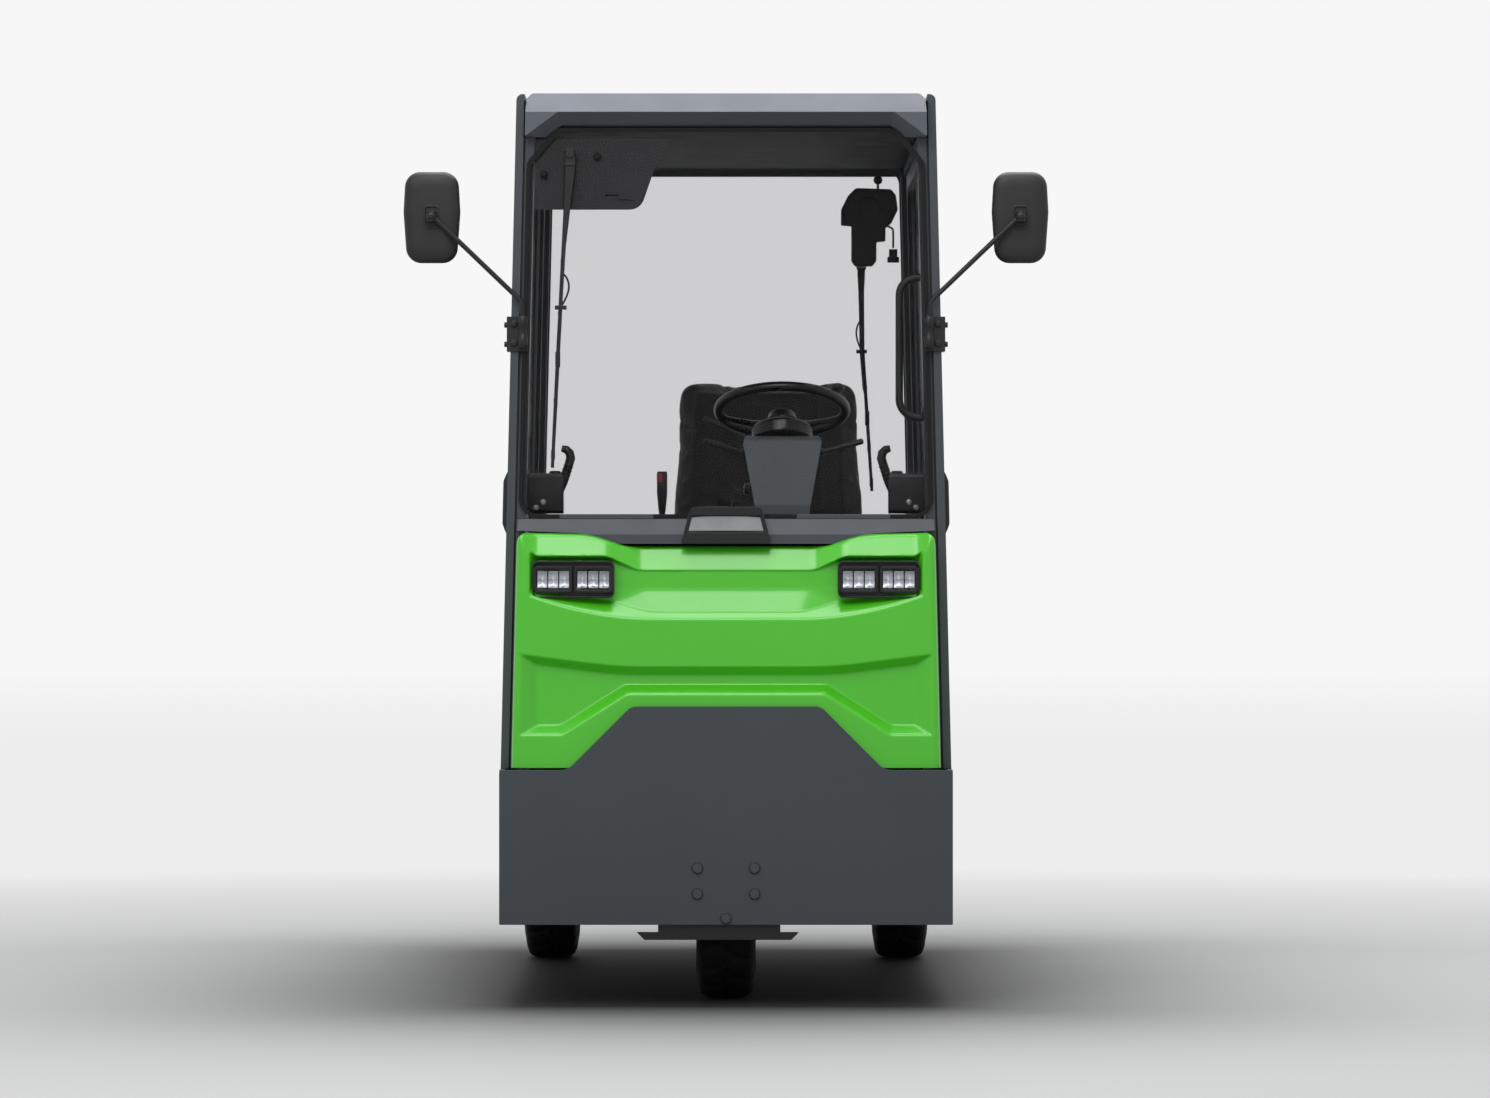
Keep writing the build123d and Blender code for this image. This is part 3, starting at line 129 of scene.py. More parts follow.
# ------------------------------------------------------------------ mesh making
def outline(rows, steps=5):
    """Points of a closed outline from rows of (a, b, corner radius)."""
    points = []
    for index, (a, b, radius) in enumerate(rows):
        here = Vector((a, b))
        if not radius:
            points.append(here)
            continue
        back = (Vector(rows[index - 1][:2]) - here).normalized()
        ahead = (Vector(rows[(index + 1) % len(rows)][:2]) - here).normalized()
        half = back.angle(ahead) / 2
        middle = here + (back + ahead).normalized() * (radius / math.sin(half))
        start = here + back * (radius / math.tan(half)) - middle
        end = here + ahead * (radius / math.tan(half)) - middle
        for step in range(steps + 1):
            points.append(middle + start.slerp(end, step / steps).normalized() * radius)
    return points


def mirrored(rows):
    """Rows of the right half, completed with the left half."""
    return list(rows) + [(-row[0], *row[1:]) for row in reversed(rows)]


def rectangle(a0, a1, b0, b1, radius=0.0):
    return [(a0, b0, radius), (a1, b0, radius), (a1, b1, radius), (a0, b1, radius)]


def place(axis, flat, along):
    """Point of a flat outline carried along an axis."""
    if axis == "X":
        return Vector((along, flat[0], flat[1]))
    if axis == "Y":
        return Vector((flat[0], along, flat[1]))
    return Vector((flat[0], flat[1], along))


def ring_about(origin, direction, radius, sides, turn=0.0, reference=None):
    """Circle of points about a direction."""
    direction = Vector(direction).normalized()
    guide = Vector(reference) if reference else Vector((0, 0, 1))
    if abs(direction.dot(guide)) > 0.97:
        guide = Vector((0, 1, 0))
    across = direction.cross(guide).normalized()
    up = across.cross(direction).normalized()
    angles = [math.tau * step / sides + turn for step in range(sides)]
    return [Vector(origin) + (across * math.cos(a) + up * math.sin(a)) * radius for a in angles]


class Form:
    """A mesh under construction, in millimetres."""

    def __init__(self):
        self.mesh = bmesh.new()
        self.slot = 0

    def vertices(self, points):
        return [self.mesh.verts.new(Vector(point) * MILLI) for point in points]

    def face(self, vertices):
        made = self.mesh.faces.new(vertices)
        made.material_index = self.slot
        return made

    def loft(self, rings, wrap=True, capped=True, closed=False):
        """Skin over rings of equal length."""
        rows = [self.vertices(ring) for ring in rings]
        count = len(rows[0])
        pairs = list(zip(rows, rows[1:])) + ([(rows[-1], rows[0])] if closed else [])
        for lower, upper in pairs:
            for step in range(count if wrap else count - 1):
                after = (step + 1) % count
                self.face([lower[step], lower[after], upper[after], upper[step]])
        if capped and wrap and not closed:
            self.face(list(reversed(rows[0])))
            self.face(rows[-1])
        return rows

    def prism(self, rows, axis, start, end, steps=5):
        """Outline given thickness along an axis."""
        flat = outline(rows, steps)
        return self.loft([[place(axis, point, at) for point in flat] for at in (start, end)])

    def stack(self, axis, layers, steps=5):
        """Outlines of equal form at rising positions: layers of (position, rows)."""
        self.loft([[place(axis, point, at) for point in outline(rows, steps)] for at, rows in layers])

    def block(self, x0, x1, y0, y1, z0, z1):
        self.prism(rectangle(x0, x1, y0, y1), "Z", z0, z1)

    def frame_ring(self, outer, inner, axis, start, end, steps=5):
        """Flat ring between two outlines with the same number of corners."""
        rings = []
        for rows, at in ((outer, start), (outer, end), (inner, end), (inner, start)):
            rings.append([place(axis, point, at) for point in outline(rows, steps)])
        self.loft(rings, capped=False, closed=True)

    def lathe(self, rows, origin, direction, sides=32, hollow=False):
        """Revolved profile of (along, radius) rows about a direction."""
        direction = Vector(direction).normalized()
        rings = [ring_about(Vector(origin) + direction * along, direction, max(radius, 0.01), sides)
                 for along, radius in rows]
        self.loft(rings, capped=not hollow, closed=hollow)

    def rod(self, start, end, radius, sides=16):
        along = Vector(end) - Vector(start)
        self.lathe([(0, radius), (along.length, radius)], start, along, sides)

    def tube(self, points, radius, sides=12, closed=False, flat=1.0):
        """Round bar along a line of points; flat below 1 squeezes it towards an oval."""
        points = [Vector(point) for point in points]
        rings = []
        side = None
        for index, here in enumerate(points):
            before = points[index - 1] if index or closed else here
            after = points[(index + 1) % len(points)] if index + 1 < len(points) or closed else here
            along = (after - before).normalized()
            if side is None:
                side = along.cross(Vector((0, 0, 1)) if abs(along.z) < 0.9 else Vector((0, 1, 0)))
            side = (side - along * side.dot(along)).normalized()
            up = along.cross(side)
            width = radius[index] if isinstance(radius, (list, tuple)) else radius
            rings.append([here + (side * math.cos(math.tau * k / sides) * flat
                                  + up * math.sin(math.tau * k / sides)) * width for k in range(sides)])
        self.loft(rings, capped=not closed, closed=closed)

    def ball(self, centre, radius, sides=20, squash=1.0):
        rows = []
        for step in range(sides // 2 + 1):
            angle = math.pi * step / (sides // 2)
            rows.append((-math.cos(angle) * radius * squash, math.sin(angle) * radius))
        self.lathe(rows, centre, (0, 0, 1), sides)

    def bolt(self, at, direction, across, height, washer=True):
        """Hexagon head with a washer and a slight chamfer."""
        direction = Vector(direction).normalized()
        at = Vector(at)
        if washer:
            self.lathe([(0, across * 0.72), (height * 0.2, across * 0.72)], at, direction, 24)
        half = across / math.sqrt(3)
        rows = ((height * 0.2, half), (height * 0.86, half), (height, half * 0.86))
        self.loft([ring_about(at + direction * along, direction, radius, 6) for along, radius in rows])

    def screw(self, at, direction, radius, height=None):
        """Round domed head with a hollow hexagon."""
        high = height or radius * 0.7
        rows = [(0, radius), (high * 0.5, radius * 0.98), (high * 0.85, radius * 0.8), (high, radius * 0.55)]
        rows += [(high * 0.98, radius * 0.45), (high * 0.4, radius * 0.42)]
        self.lathe(rows, at, direction, 20)

    def turn(self, matrix):
        """Moves everything made so far."""
        bmesh.ops.transform(self.mesh, matrix=matrix, verts=self.mesh.verts)

    def mirror(self):
        """Adds the mirror image on the other side."""
        made = bmesh.ops.duplicate(self.mesh, geom=self.mesh.verts[:] + self.mesh.edges[:] + self.mesh.faces[:])
        copies = [item for item in made["geom"] if isinstance(item, bmesh.types.BMVert)]
        for vertex in copies:
            vertex.co.x = -vertex.co.x
        faces = [item for item in made["geom"] if isinstance(item, bmesh.types.BMFace)]
        bmesh.ops.reverse_faces(self.mesh, faces=faces)

    def done(self, name, finishes, body, replaces=(), bevel=0.0, angle=32.0, levels=0, segments=2):
        """Turns the form into a piece that rides on a body."""
        bmesh.ops.recalc_face_normals(self.mesh, faces=self.mesh.faces)
        data = bpy.data.meshes.new(name)
        self.mesh.to_mesh(data)
        self.mesh.free()
        return settle(name, data, finishes, body, replaces, bevel, angle, levels, segments)


def settle(name, data, finishes, body, replaces=(), bevel=0.0, angle=32.0, levels=0, segments=2):
    """Links a mesh, gives it its finishes and edges, and makes it ride on a body."""
    piece = bpy.data.objects.new(name, data)
    bpy.context.scene.collection.objects.link(piece)
    for finish in [finishes] if isinstance(finishes, str) else finishes:
        data.materials.append(material(finish))
    data.shade_smooth()
    data.set_sharp_from_angle(angle=math.radians(angle))
    if bevel:
        rounding = piece.modifiers.new("Edges", "BEVEL")
        rounding.width = bevel * MILLI
        rounding.segments = segments
        rounding.limit_method = "ANGLE"
        rounding.angle_limit = math.radians(angle)
        rounding.harden_normals = True
    if levels:
        smooth = piece.modifiers.new("Smooth", "SUBSURF")
        smooth.levels = smooth.render_levels = levels
    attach(piece, body)
    if replaces:
        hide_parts(*replaces)
    return piece


# ------------------------------------------------------------------ finishes
def node(tree, kind, inputs=(), **settings):
    """Adds a shader node; inputs maps a socket's name or number to a value or another node's output."""
    made = tree.nodes.new("ShaderNode" + kind)
    for name, value in settings.items():
        setattr(made, name, value)
    for key, value in dict(inputs).items():
        if isinstance(value, bpy.types.NodeSocket):
            tree.links.new(value, made.inputs[key])
        else:
            made.inputs[key].default_value = value
    return made


def ranged(tree, value, low, high, to_low, to_high):
    """A value carried from one range to another."""
    made = node(tree, "MapRange", {0: value, 1: low, 2: high, 3: to_low, 4: to_high})
    return made.outputs[0]


def noise(tree, where, scale, detail=3.0, rough=0.55):
    return node(tree, "TexNoise", {"Vector": where, "Scale": scale, "Detail": detail, "Roughness": rough}).outputs[0]


def tinted(tree, factor, low, high):
    """Colour between two colours."""
    mixed = node(tree, "Mix", {0: factor, 6: (*low, 1), 7: (*high, 1)}, data_type="RGBA")
    return mixed.outputs[2]


def blended(tree, factor, low, high):
    """Mix of two colour sockets, or of a socket and a colour."""
    mixed = node(tree, "Mix", {0: factor}, data_type="RGBA")
    for key, value in ((6, low), (7, high)):
        if isinstance(value, bpy.types.NodeSocket):
            tree.links.new(value, mixed.inputs[key])
        else:
            mixed.inputs[key].default_value = (*value, 1)
    return mixed.outputs[2]


def empty_material(name):
    made = bpy.data.materials.new(name)
    made.use_nodes = True
    made.node_tree.nodes.clear()
    return made, made.node_tree


def coat(name, base, rough=0.5, drift=0.05, drift_scale=2.5, spread=0.05, grain=0.0, grain_scale=700.0,
         metal=0.0, specular=0.4, clear=0.0, edges=0.0, dust=0.0, sheen=0.0):
    """Painted, moulded or bare finish: slow colour drift, uneven gloss, surface grain, edges lightened as rubbed wear
    and as a painted highlight, and dust.
    """
    made, tree = empty_material(name)
    where = node(tree, "TexCoord").outputs["Object"]
    base = tuple(base)
    dark = tuple(value * (1 - drift) for value in base)
    light = tuple(min(value * (1 + drift), 1) for value in base)
    paint = tinted(tree, ranged(tree, noise(tree, where, drift_scale, 4), 0.3, 0.7, 0, 1), dark, light)
    rounded = node(tree, "Bevel", {"Radius": bpy.context.scene.tug_sizes.edge}, samples=4).outputs[0]
    surface = node(tree, "NewGeometry")
    # Edges: a lighter tone in patches along rounded edges, partly rubbed wear and partly a painted highlight.
    if edges:
        bent = node(tree, "VectorMath", {0: rounded, 1: surface.outputs["Normal"]}, operation="DOT_PRODUCT")
        edge_wear_and_highlight = ranged(tree, bent.outputs["Value"], 0.985, 0.90, 0, edges)
        patchy_edge_wear_and_highlight = node(tree, "Math", {0: edge_wear_and_highlight, 1: ranged(tree, noise(tree, where, 60), 0.35, 0.65, 0.3, 1)},
                      operation="MULTIPLY")
        # worn is the lighter edge tone, standing for both rubbed paint and a painted highlight.
        worn = tuple(min(value * 1.5 + 0.03, 1) for value in base)
        paint = blended(tree, patchy_edge_wear_and_highlight.outputs[0], paint, worn)
    if dust:
        facing = node(tree, "SeparateXYZ", {0: surface.outputs["Normal"]}).outputs[2]
        settled = ranged(tree, facing, 0.55, 1.0, 0, dust)
        film = node(tree, "Math", {0: settled, 1: ranged(tree, noise(tree, where, 9), 0.3, 0.7, 0.4, 1)},
                    operation="MULTIPLY")
        paint = blended(tree, film.outputs[0], paint, shade(150, 146, 138))
    gloss = ranged(tree, noise(tree, where, 14, 3), 0.3, 0.7, max(rough - spread, 0.03), min(rough + spread, 1))
    relief = rounded
    if grain:
        bumps = noise(tree, where, grain_scale, 2)
        relief = node(tree, "Bump", {"Height": bumps, "Strength": grain, "Distance": 0.0004, "Normal": rounded})
        relief = relief.outputs[0]
    sockets = {"Base Color": paint, "Roughness": gloss, "Metallic": metal, "Normal": relief,
               "Specular IOR Level": specular, "Coat Weight": clear, "Coat Roughness": 0.12,
               "Sheen Weight": sheen, "Sheen Roughness": 0.5}
    shader = node(tree, "BsdfPrincipled", sockets)
    node(tree, "OutputMaterial", {"Surface": shader.outputs[0]})
    return made


def glass(name, tint, smoke=0.0, rough=0.02):
    """Clear pane that lets the studio light through; smoke adds a faint film."""
    made, tree = empty_material(name)
    where = node(tree, "TexCoord").outputs["Object"]
    film = ranged(tree, noise(tree, where, 1.6, 3), 0.35, 0.65, rough, rough + 0.02)
    pane = node(tree, "BsdfPrincipled", {"Base Color": (*tint, 1), "Roughness": film, "IOR": 1.12,
                                         "Transmission Weight": 1.0, "Specular IOR Level": 0.5})
    clear = node(tree, "BsdfTransparent", {"Color": (*tint, 1)})
    path = node(tree, "LightPath")
    indirect = node(tree, "Math", {0: path.outputs["Is Shadow Ray"], 1: path.outputs["Is Diffuse Ray"]},
                    operation="MAXIMUM")
    mixed = node(tree, "MixShader", {0: indirect.outputs[0], 1: pane.outputs[0], 2: clear.outputs[0]})
    if smoke:
        haze = node(tree, "BsdfDiffuse", {"Color": (*shade(30, 30, 32), 1)})
        mixed = node(tree, "MixShader", {0: smoke, 1: mixed.outputs[0], 2: haze.outputs[0]})
    node(tree, "OutputMaterial", {"Surface": mixed.outputs[0]})
    return made


def leather(name, base):
    """Grained seat cover with fine creases between its pebbles."""
    made, tree = empty_material(name)
    where = node(tree, "TexCoord").outputs["Object"]
    pebbles = node(tree, "TexVoronoi", {"Vector": where, "Scale": 520.0}, feature="DISTANCE_TO_EDGE").outputs[0]
    grain = ranged(tree, pebbles, 0.0, 0.35, 0, 1)
    creases = noise(tree, where, 38, 5)
    high = node(tree, "Math", {0: grain, 1: ranged(tree, creases, 0.3, 0.7, 0, 1.6)}, operation="ADD")
    relief = node(tree, "Bump", {"Height": high.outputs[0], "Strength": 0.45, "Distance": 0.0006})
    base = tuple(base)
    paint = tinted(tree, grain, tuple(value * 0.7 for value in base), tuple(value * 1.12 for value in base))
    gloss = ranged(tree, creases, 0.3, 0.7, 0.5, 0.66)
    shader = node(tree, "BsdfPrincipled", {"Base Color": paint, "Roughness": gloss, "Normal": relief.outputs[0],
                                           "Specular IOR Level": 0.3, "Sheen Weight": 0.08})
    node(tree, "OutputMaterial", {"Surface": shader.outputs[0]})
    return made


def striped_lens(name, base, pitch):
    """Lamp lens moulded with fine upright flutes."""
    made, tree = empty_material(name)
    where = node(tree, "TexCoord").outputs["Object"]
    flutes = node(tree, "TexWave", {"Vector": where, "Scale": 1 / (pitch * math.tau / 2)}, bands_direction="X")
    relief = node(tree, "Bump", {"Height": flutes.outputs[1], "Strength": 0.5, "Distance": 0.001})
    shader = node(tree, "BsdfPrincipled", {"Base Color": (*base, 1), "Roughness": 0.12, "Specular IOR Level": 0.6,
                                           "Normal": relief.outputs[0], "Coat Weight": 0.4})
    node(tree, "OutputMaterial", {"Surface": shader.outputs[0]})
    return made


def material(name):
    """Finish by name, made on first use."""
    found = bpy.data.materials.get(name)
    if found:
        return found
    tones = bpy.context.scene.tug_colours
    if name == "cab_glass":
        return glass(name, shade(233, 233, 234))
    if name == "clear_cover":
        return glass(name, shade(248, 249, 250), rough=0.05)
    if name == "seat_cover":
        return leather(name, tones.seat)
    if name == "tail_lens":
        return striped_lens(name, tones.tail, 0.005)
    recipes = {
        "lime_cover": (tones.lime, dict(rough=0.34, drift=0.025, specular=0.45, clear=0.5, grain=0.05, spread=0.03)),
        "bumper_paint": (tones.bumper, dict(rough=0.46, drift=0.05, grain=0.22, grain_scale=420, edges=0.5, dust=0.06)),
        "cab_paint": (tones.cab, dict(rough=0.42, drift=0.05, grain=0.18, grain_scale=500, edges=0.4, dust=0.05)),
        "scuttle_paint": (shade(66, 71, 78), dict(rough=0.45, drift=0.05, grain=0.2, edges=0.35, dust=0.04)),
        "roof_moulding": (tones.roof, dict(rough=0.55, drift=0.04, specular=0.15, grain=0.3, grain_scale=800, edges=0.2)),
        "black_plastic": (tones.plastic, dict(rough=0.5, drift=0.12, grain=0.15, specular=0.3, edges=0.2, dust=0.04)),
        "smooth_plastic": (shade(20, 21, 22), dict(rough=0.3, drift=0.08, grain=0.1, specular=0.35, edges=0.15)),
        "shelf_plastic": (shade(20, 20, 21), dict(rough=0.7, drift=0.1, grain=0.15, specular=0.15, dust=0.03)),
        "black_steel": (tones.black_metal, dict(rough=0.4, drift=0.1, grain=0.15, specular=0.35, edges=0.5)),
        "console_plastic": (tones.console, dict(rough=0.5, drift=0.05, grain=0.15, specular=0.3, edges=0.15)),
        "rim_paint": (shade(92, 95, 98), dict(rough=0.42, drift=0.08, grain=0.2, edges=0.5, dust=0.1)),
        "frame_paint": (shade(36, 38, 40), dict(rough=0.55, drift=0.12, grain=0.3, edges=0.5, dust=0.12)),
        "axle_iron": (tones.iron, dict(rough=0.6, drift=0.2, grain=0.6, grain_scale=260, metal=0.3, edges=0.4)),
        "bare_steel": (tones.steel, dict(rough=0.32, drift=0.12, drift_scale=40, spread=0.12, metal=1.0, edges=0.2)),
        "bolt_steel": (shade(44, 46, 48), dict(rough=0.35, drift=0.1, drift_scale=60, metal=0.4, edges=0.6)),
        "tyre_rubber": (tones.rubber, dict(rough=0.78, drift=0.2, drift_scale=12, grain=0.6, specular=0.2, dust=0.1)),
        "seal_rubber": (tones.rubber, dict(rough=0.62, drift=0.15, grain=0.4, specular=0.2)),
        "mat_rubber": (shade(30, 30, 30), dict(rough=0.8, drift=0.2, grain=0.8, grain_scale=240, specular=0.15)),
        "mirror_glass": (shade(205, 210, 214), dict(rough=0.05, drift=0.01, metal=1.0, spread=0.01)),
        "reflector": (tones.lamp, dict(rough=0.34, drift=0.04, metal=1.0, spread=0.05)),
        "lamp_face": (shade(140, 143, 145), dict(rough=0.32, drift=0.16, drift_scale=9, metal=0.5, clear=0.2, grain=0.1)),
        "copper": (shade(190, 118, 70), dict(rough=0.35, drift=0.1, metal=1.0)),
        "release_red": (tones.buckle, dict(rough=0.36, drift=0.05, clear=0.2, grain=0.1)),
        "case_grey": (shade(58, 60, 62), dict(rough=0.6, drift=0.1, grain=0.5)),
        "amber_lens": (shade(206, 108, 16), dict(rough=0.15, drift=0.05, clear=0.5, specular=0.6)),
        "white_lens": (shade(196, 198, 200), dict(rough=0.15, drift=0.05, clear=0.5, specular=0.6)),
    }
    base, options = recipes[name]
    return coat(name, tuple(base), **options)


NODE_FINISHES = {
    "frame_paint": "chassis_rails cross_members steering_bridge battery_hood cab_floor seat_pan",
    "axle_iron": "steering_fork rear_axle drive_motor",
    "case_grey": "battery",
    "bumper_paint": "front_bumper side_sills rear_body rear_lid",
    "cab_paint": "cab_pillars rear_wall door_frame_left door_frame_right",
    "scuttle_paint": "cowl",
    "roof_moulding": "roof",
    "lime_cover": "front_panel",
    "black_plastic": "head_lamps centre_lamp wiper_cover rear_wiper_motor mirror_heads",
    "shelf_plastic": "dash_panel",
    "console_plastic": "steering_console",
    "lamp_face": "centre_lamp_lens",
    "reflector": "lamp_reflectors",
    "cab_glass": "windshield rear_window door_glass_left door_glass_right",
    "seal_rubber": "windshield_seal",
    "black_steel": "front_tow_plate front_wiper rear_wiper grab_handle mirror_arms tow_jaw door_hinge_pins pedals",
    "smooth_plastic": "steering_wheel console_controls belt_buckle door_latch_left door_latch_right",
    "seat_cover": "seat_cushion seat_back",
    "tail_lens": "tail_lamps",
    "bare_steel": "tow_pin",
    "tyre_rubber": "front_tyre rear_tyre_left rear_tyre_right",
    "rim_paint": "front_rim rear_rim_left rear_rim_right",
}


def finish_nodes():
    """Gives every CAD node its finish in place of its packed material."""
    for packed in list(bpy.data.materials):
        bpy.data.materials.remove(packed)
    left = set(NODES)
    for finish, names in NODE_FINISHES.items():
        for name in names.split():
            data = NODES[name].data
            data.materials.clear()
            data.materials.append(material(finish))
            left.discard(name)
    if left:
        raise RuntimeError(f"no finish for {sorted(left)}")


# ------------------------------------------------------------------ front cover
COVER_BAND_TOP = 855.0
COVER_BAND_FOOT = 749.0
COVER_POCKET = 32.0
COVER_RECESS = 24.0
COVER_CREASE = ((0, 962), (194, 962), (262, 994), (424, 994), (448, 1027), (480, 1071))
COVER_CREST = ((0, 29), (194, 29), (262, 8), (424, 8), (448, 2), (480, 0))
COVER_TOP = ((0, 0), (232, 0), (262, 10), (300, 22), (330, 26), (480, 29))


def lower_of(a, b, soft):
    """The smaller of two depths, blended over a soft crease."""
    near = np.maximum(soft - np.abs(a - b), 0) / soft
    return np.minimum(a, b) - near * near * soft / 4


def higher_of(a, b, soft):
    return -lower_of(-a, -b, soft)


def eased(across, rows, reach=9.0):
    """Heights read from rows of (across, value), with the corners between rows rounded."""
    places, values = zip(*rows)
    shifts = (-reach, -reach / 2, 0, reach / 2, reach)
    return sum(np.interp(np.abs(across + shift), places, values) for shift in shifts) / len(shifts)


def cover_depth(across, height):
    """How far the front cover's face lies behind its foremost plane."""
    a = np.abs(across)
    band_top = COVER_BAND_TOP + 0.00068 * np.maximum(a - 160, 0) ** 2
    ledge = 0.95 * (height - band_top)
    cheek = lower_of(33 + 0.119 * (a - 176) + 0.312 * (height - 926), COVER_POCKET, 3)
    middle = lower_of(15 + 0.35 * (height - 872), COVER_POCKET, 3)
    pocket = lower_of(ledge, higher_of(cheek, middle, 2), 3)
    pocket = lower_of(pocket, 2.2 * (435 - a), 5)
    upper = higher_of(pocket, 0, 4)
    crease = eased(across, COVER_CREASE)
    crest = eased(across, COVER_CREST)
    under = crest + 3.0 * (crease - height)
    slope = crest + 0.42 * (height - crease)
    upper = higher_of(slope, lower_of(under, upper, 3), 5)
    foot = higher_of(COVER_BAND_FOOT, COVER_BAND_FOOT + 0.128 * (a - 239), 8)
    flank = 0.65 * (455 - a)
    ledges = 1.1 * (height - 598.5)
    slant = 1.15 * (0.534 * (a - 218) + 0.846 * (height - 689))
    ledges = higher_of(1.15 * (height - 689), lower_of(slant, ledges, 3), 3)
    recess = lower_of(lower_of(1.4 * (foot - height), flank, 4), lower_of(ledges, COVER_RECESS, 3), 4)
    return upper + higher_of(recess, 0, 4)


def rounding(distance, radius):
    """Drop of a rounded edge at a distance in from it."""
    inside = np.clip(radius - distance, 0, radius)
    return radius - np.sqrt(np.maximum(radius * radius - inside * inside, 0))


def front_cover(sizes):
    low, high = span("front_panel")
    step = sizes.cover_step / MILLI
    columns = int((high.x - low.x) / step)
    rows = int((high.z - low.z) / (step * 0.85))
    u = np.linspace(-1, 1, columns)
    v = np.linspace(0, 1, rows)[:, None]
    top = high.z - 29.5 + eased(u * high.x, COVER_TOP, 14)
    top = top - rounding((1 - np.abs(u)) * high.x, 24)
    z = low.z + v * (top - low.z)
    half = high.x - np.maximum(z - low.z, 0) * (high.x - side_at(high.z)) / (high.z - low.z)
    x = u * half
    y = low.y + cover_depth(x, z) + 5 * (x / high.x) ** 2
    y = y + rounding(half - np.abs(x), 17) + rounding(top - z, 9)
    form = Form()
    grid = [form.vertices(zip(x[row], y[row], z[row])) for row in range(rows)]
    for lower, upper in zip(grid, grid[1:]):
        for index in range(columns - 1):
            form.face([lower[index], lower[index + 1], upper[index + 1], upper[index]])
    rim = [line[0] for line in reversed(grid)] + grid[0][1:] + [line[-1] for line in grid[1:]]
    rim += list(reversed(grid[-1][1:-1]))
    back = form.vertices([(v.co.x / MILLI, high.y, v.co.z / MILLI) for v in rim])
    for index, vertex in enumerate(rim):
        after = (index + 1) % len(rim)
        form.face([vertex, back[index], back[after], rim[after]])
    form.done("front_cover", "lime_cover", CHASSIS, ["front_panel"], angle=50)


def side_at(height):
    """Half width of the front cover at a height."""
    low, high = span("front_panel")
    return high.x - (height - low.z) * 0.0236


# ------------------------------------------------------------------ lamps
def head_lamps():
    """Two lamps of two modules, each with three reflector wells behind a clear cover."""
    low, high = span("head_lamps")
    middle = (low.z + high.z) / 2
    tall = high.z - low.z
    for side, name in ((-1, "right"), (1, "left")):
        centre = side * (high.x - 91.5)
        housing = Form()
        outer = rectangle(centre - 90.5, centre + 90.5, middle - tall / 2, middle + tall / 2, 13)
        inner = rectangle(centre - 86.5, centre + 86.5, middle - tall / 2 + 4, middle + tall / 2 - 4, 10)
        housing.frame_ring(outer, inner, "Y", high.y - 20, low.y + 1.5)
        housing.prism(inner, "Y", low.y + 22, high.y)
        for module in (-1, 1):
            x = centre + module * 44.2
            frame_out = rectangle(x - 42.4, x + 42.4, middle - 29.5, middle + 29.5, 7)
            frame_in = rectangle(x - 37, x + 37, middle - 23, middle + 23, 5)
            housing.frame_ring(frame_out, frame_in, "Y", low.y + 24, low.y + 0.2)
            for divider in (-1, 1):
                edge = x + divider * 12.2
                housing.block(edge - 1.5, edge + 1.5, low.y + 6, low.y + 24, middle - 21, middle + 21)
            housing.block(x - 37, x + 37, low.y + 7, low.y + 24, middle + 18.5, middle + 23)
            housing.block(x - 37, x + 37, low.y + 7, low.y + 24, middle - 23, middle - 18.5)
        housing.done("head_lamp_" + name, "smooth_plastic", CHASSIS,
                     ["head_lamps"] if side > 0 else [], bevel=0.9)
        bowls = Form()
        for module in (-1, 1):
            for well in (-1, 0, 1):
                bowl(bowls, centre + module * 44.2 + well * 24.2, low.y + 8, middle)
        bowls.done("head_lamp_reflectors_" + name, "reflector", CHASSIS,
                   ["lamp_reflectors"] if side > 0 else [], angle=60)
        lens = Form()
        for module in (-1, 1):
            x = centre + module * 44.2
            lens.prism(rectangle(x - 37, x + 37, middle - 23, middle + 23, 5), "Y", low.y + 2.6, low.y + 4.2)
        lens.done("head_lamp_covers_" + name, "clear_cover", CHASSIS, bevel=0.4)


def bowl(form, x, y, z, half_x=10.6, half_z=18.4, depth=13.0):
    """Hollow reflector: deepest along an upright line, with its ends curved forward."""
    steps = 12
    rows = []
    for j in range(steps + 1):
        v = -1 + 2 * j / steps
        row = []
        for i in range(steps + 1):
            u = -1 + 2 * i / steps
            hollow = (1 - u * u) * (1 - v ** 6)
            row.append((x + u * half_x, y + depth * hollow, z + v * half_z))
        rows.append(row)
    form.loft(rows, wrap=False)
    form.ball((x, y + depth * 0.72, z), 2.6, 10)


LENS_FOOT = 1049.5
LENS_TOP = 1080.5


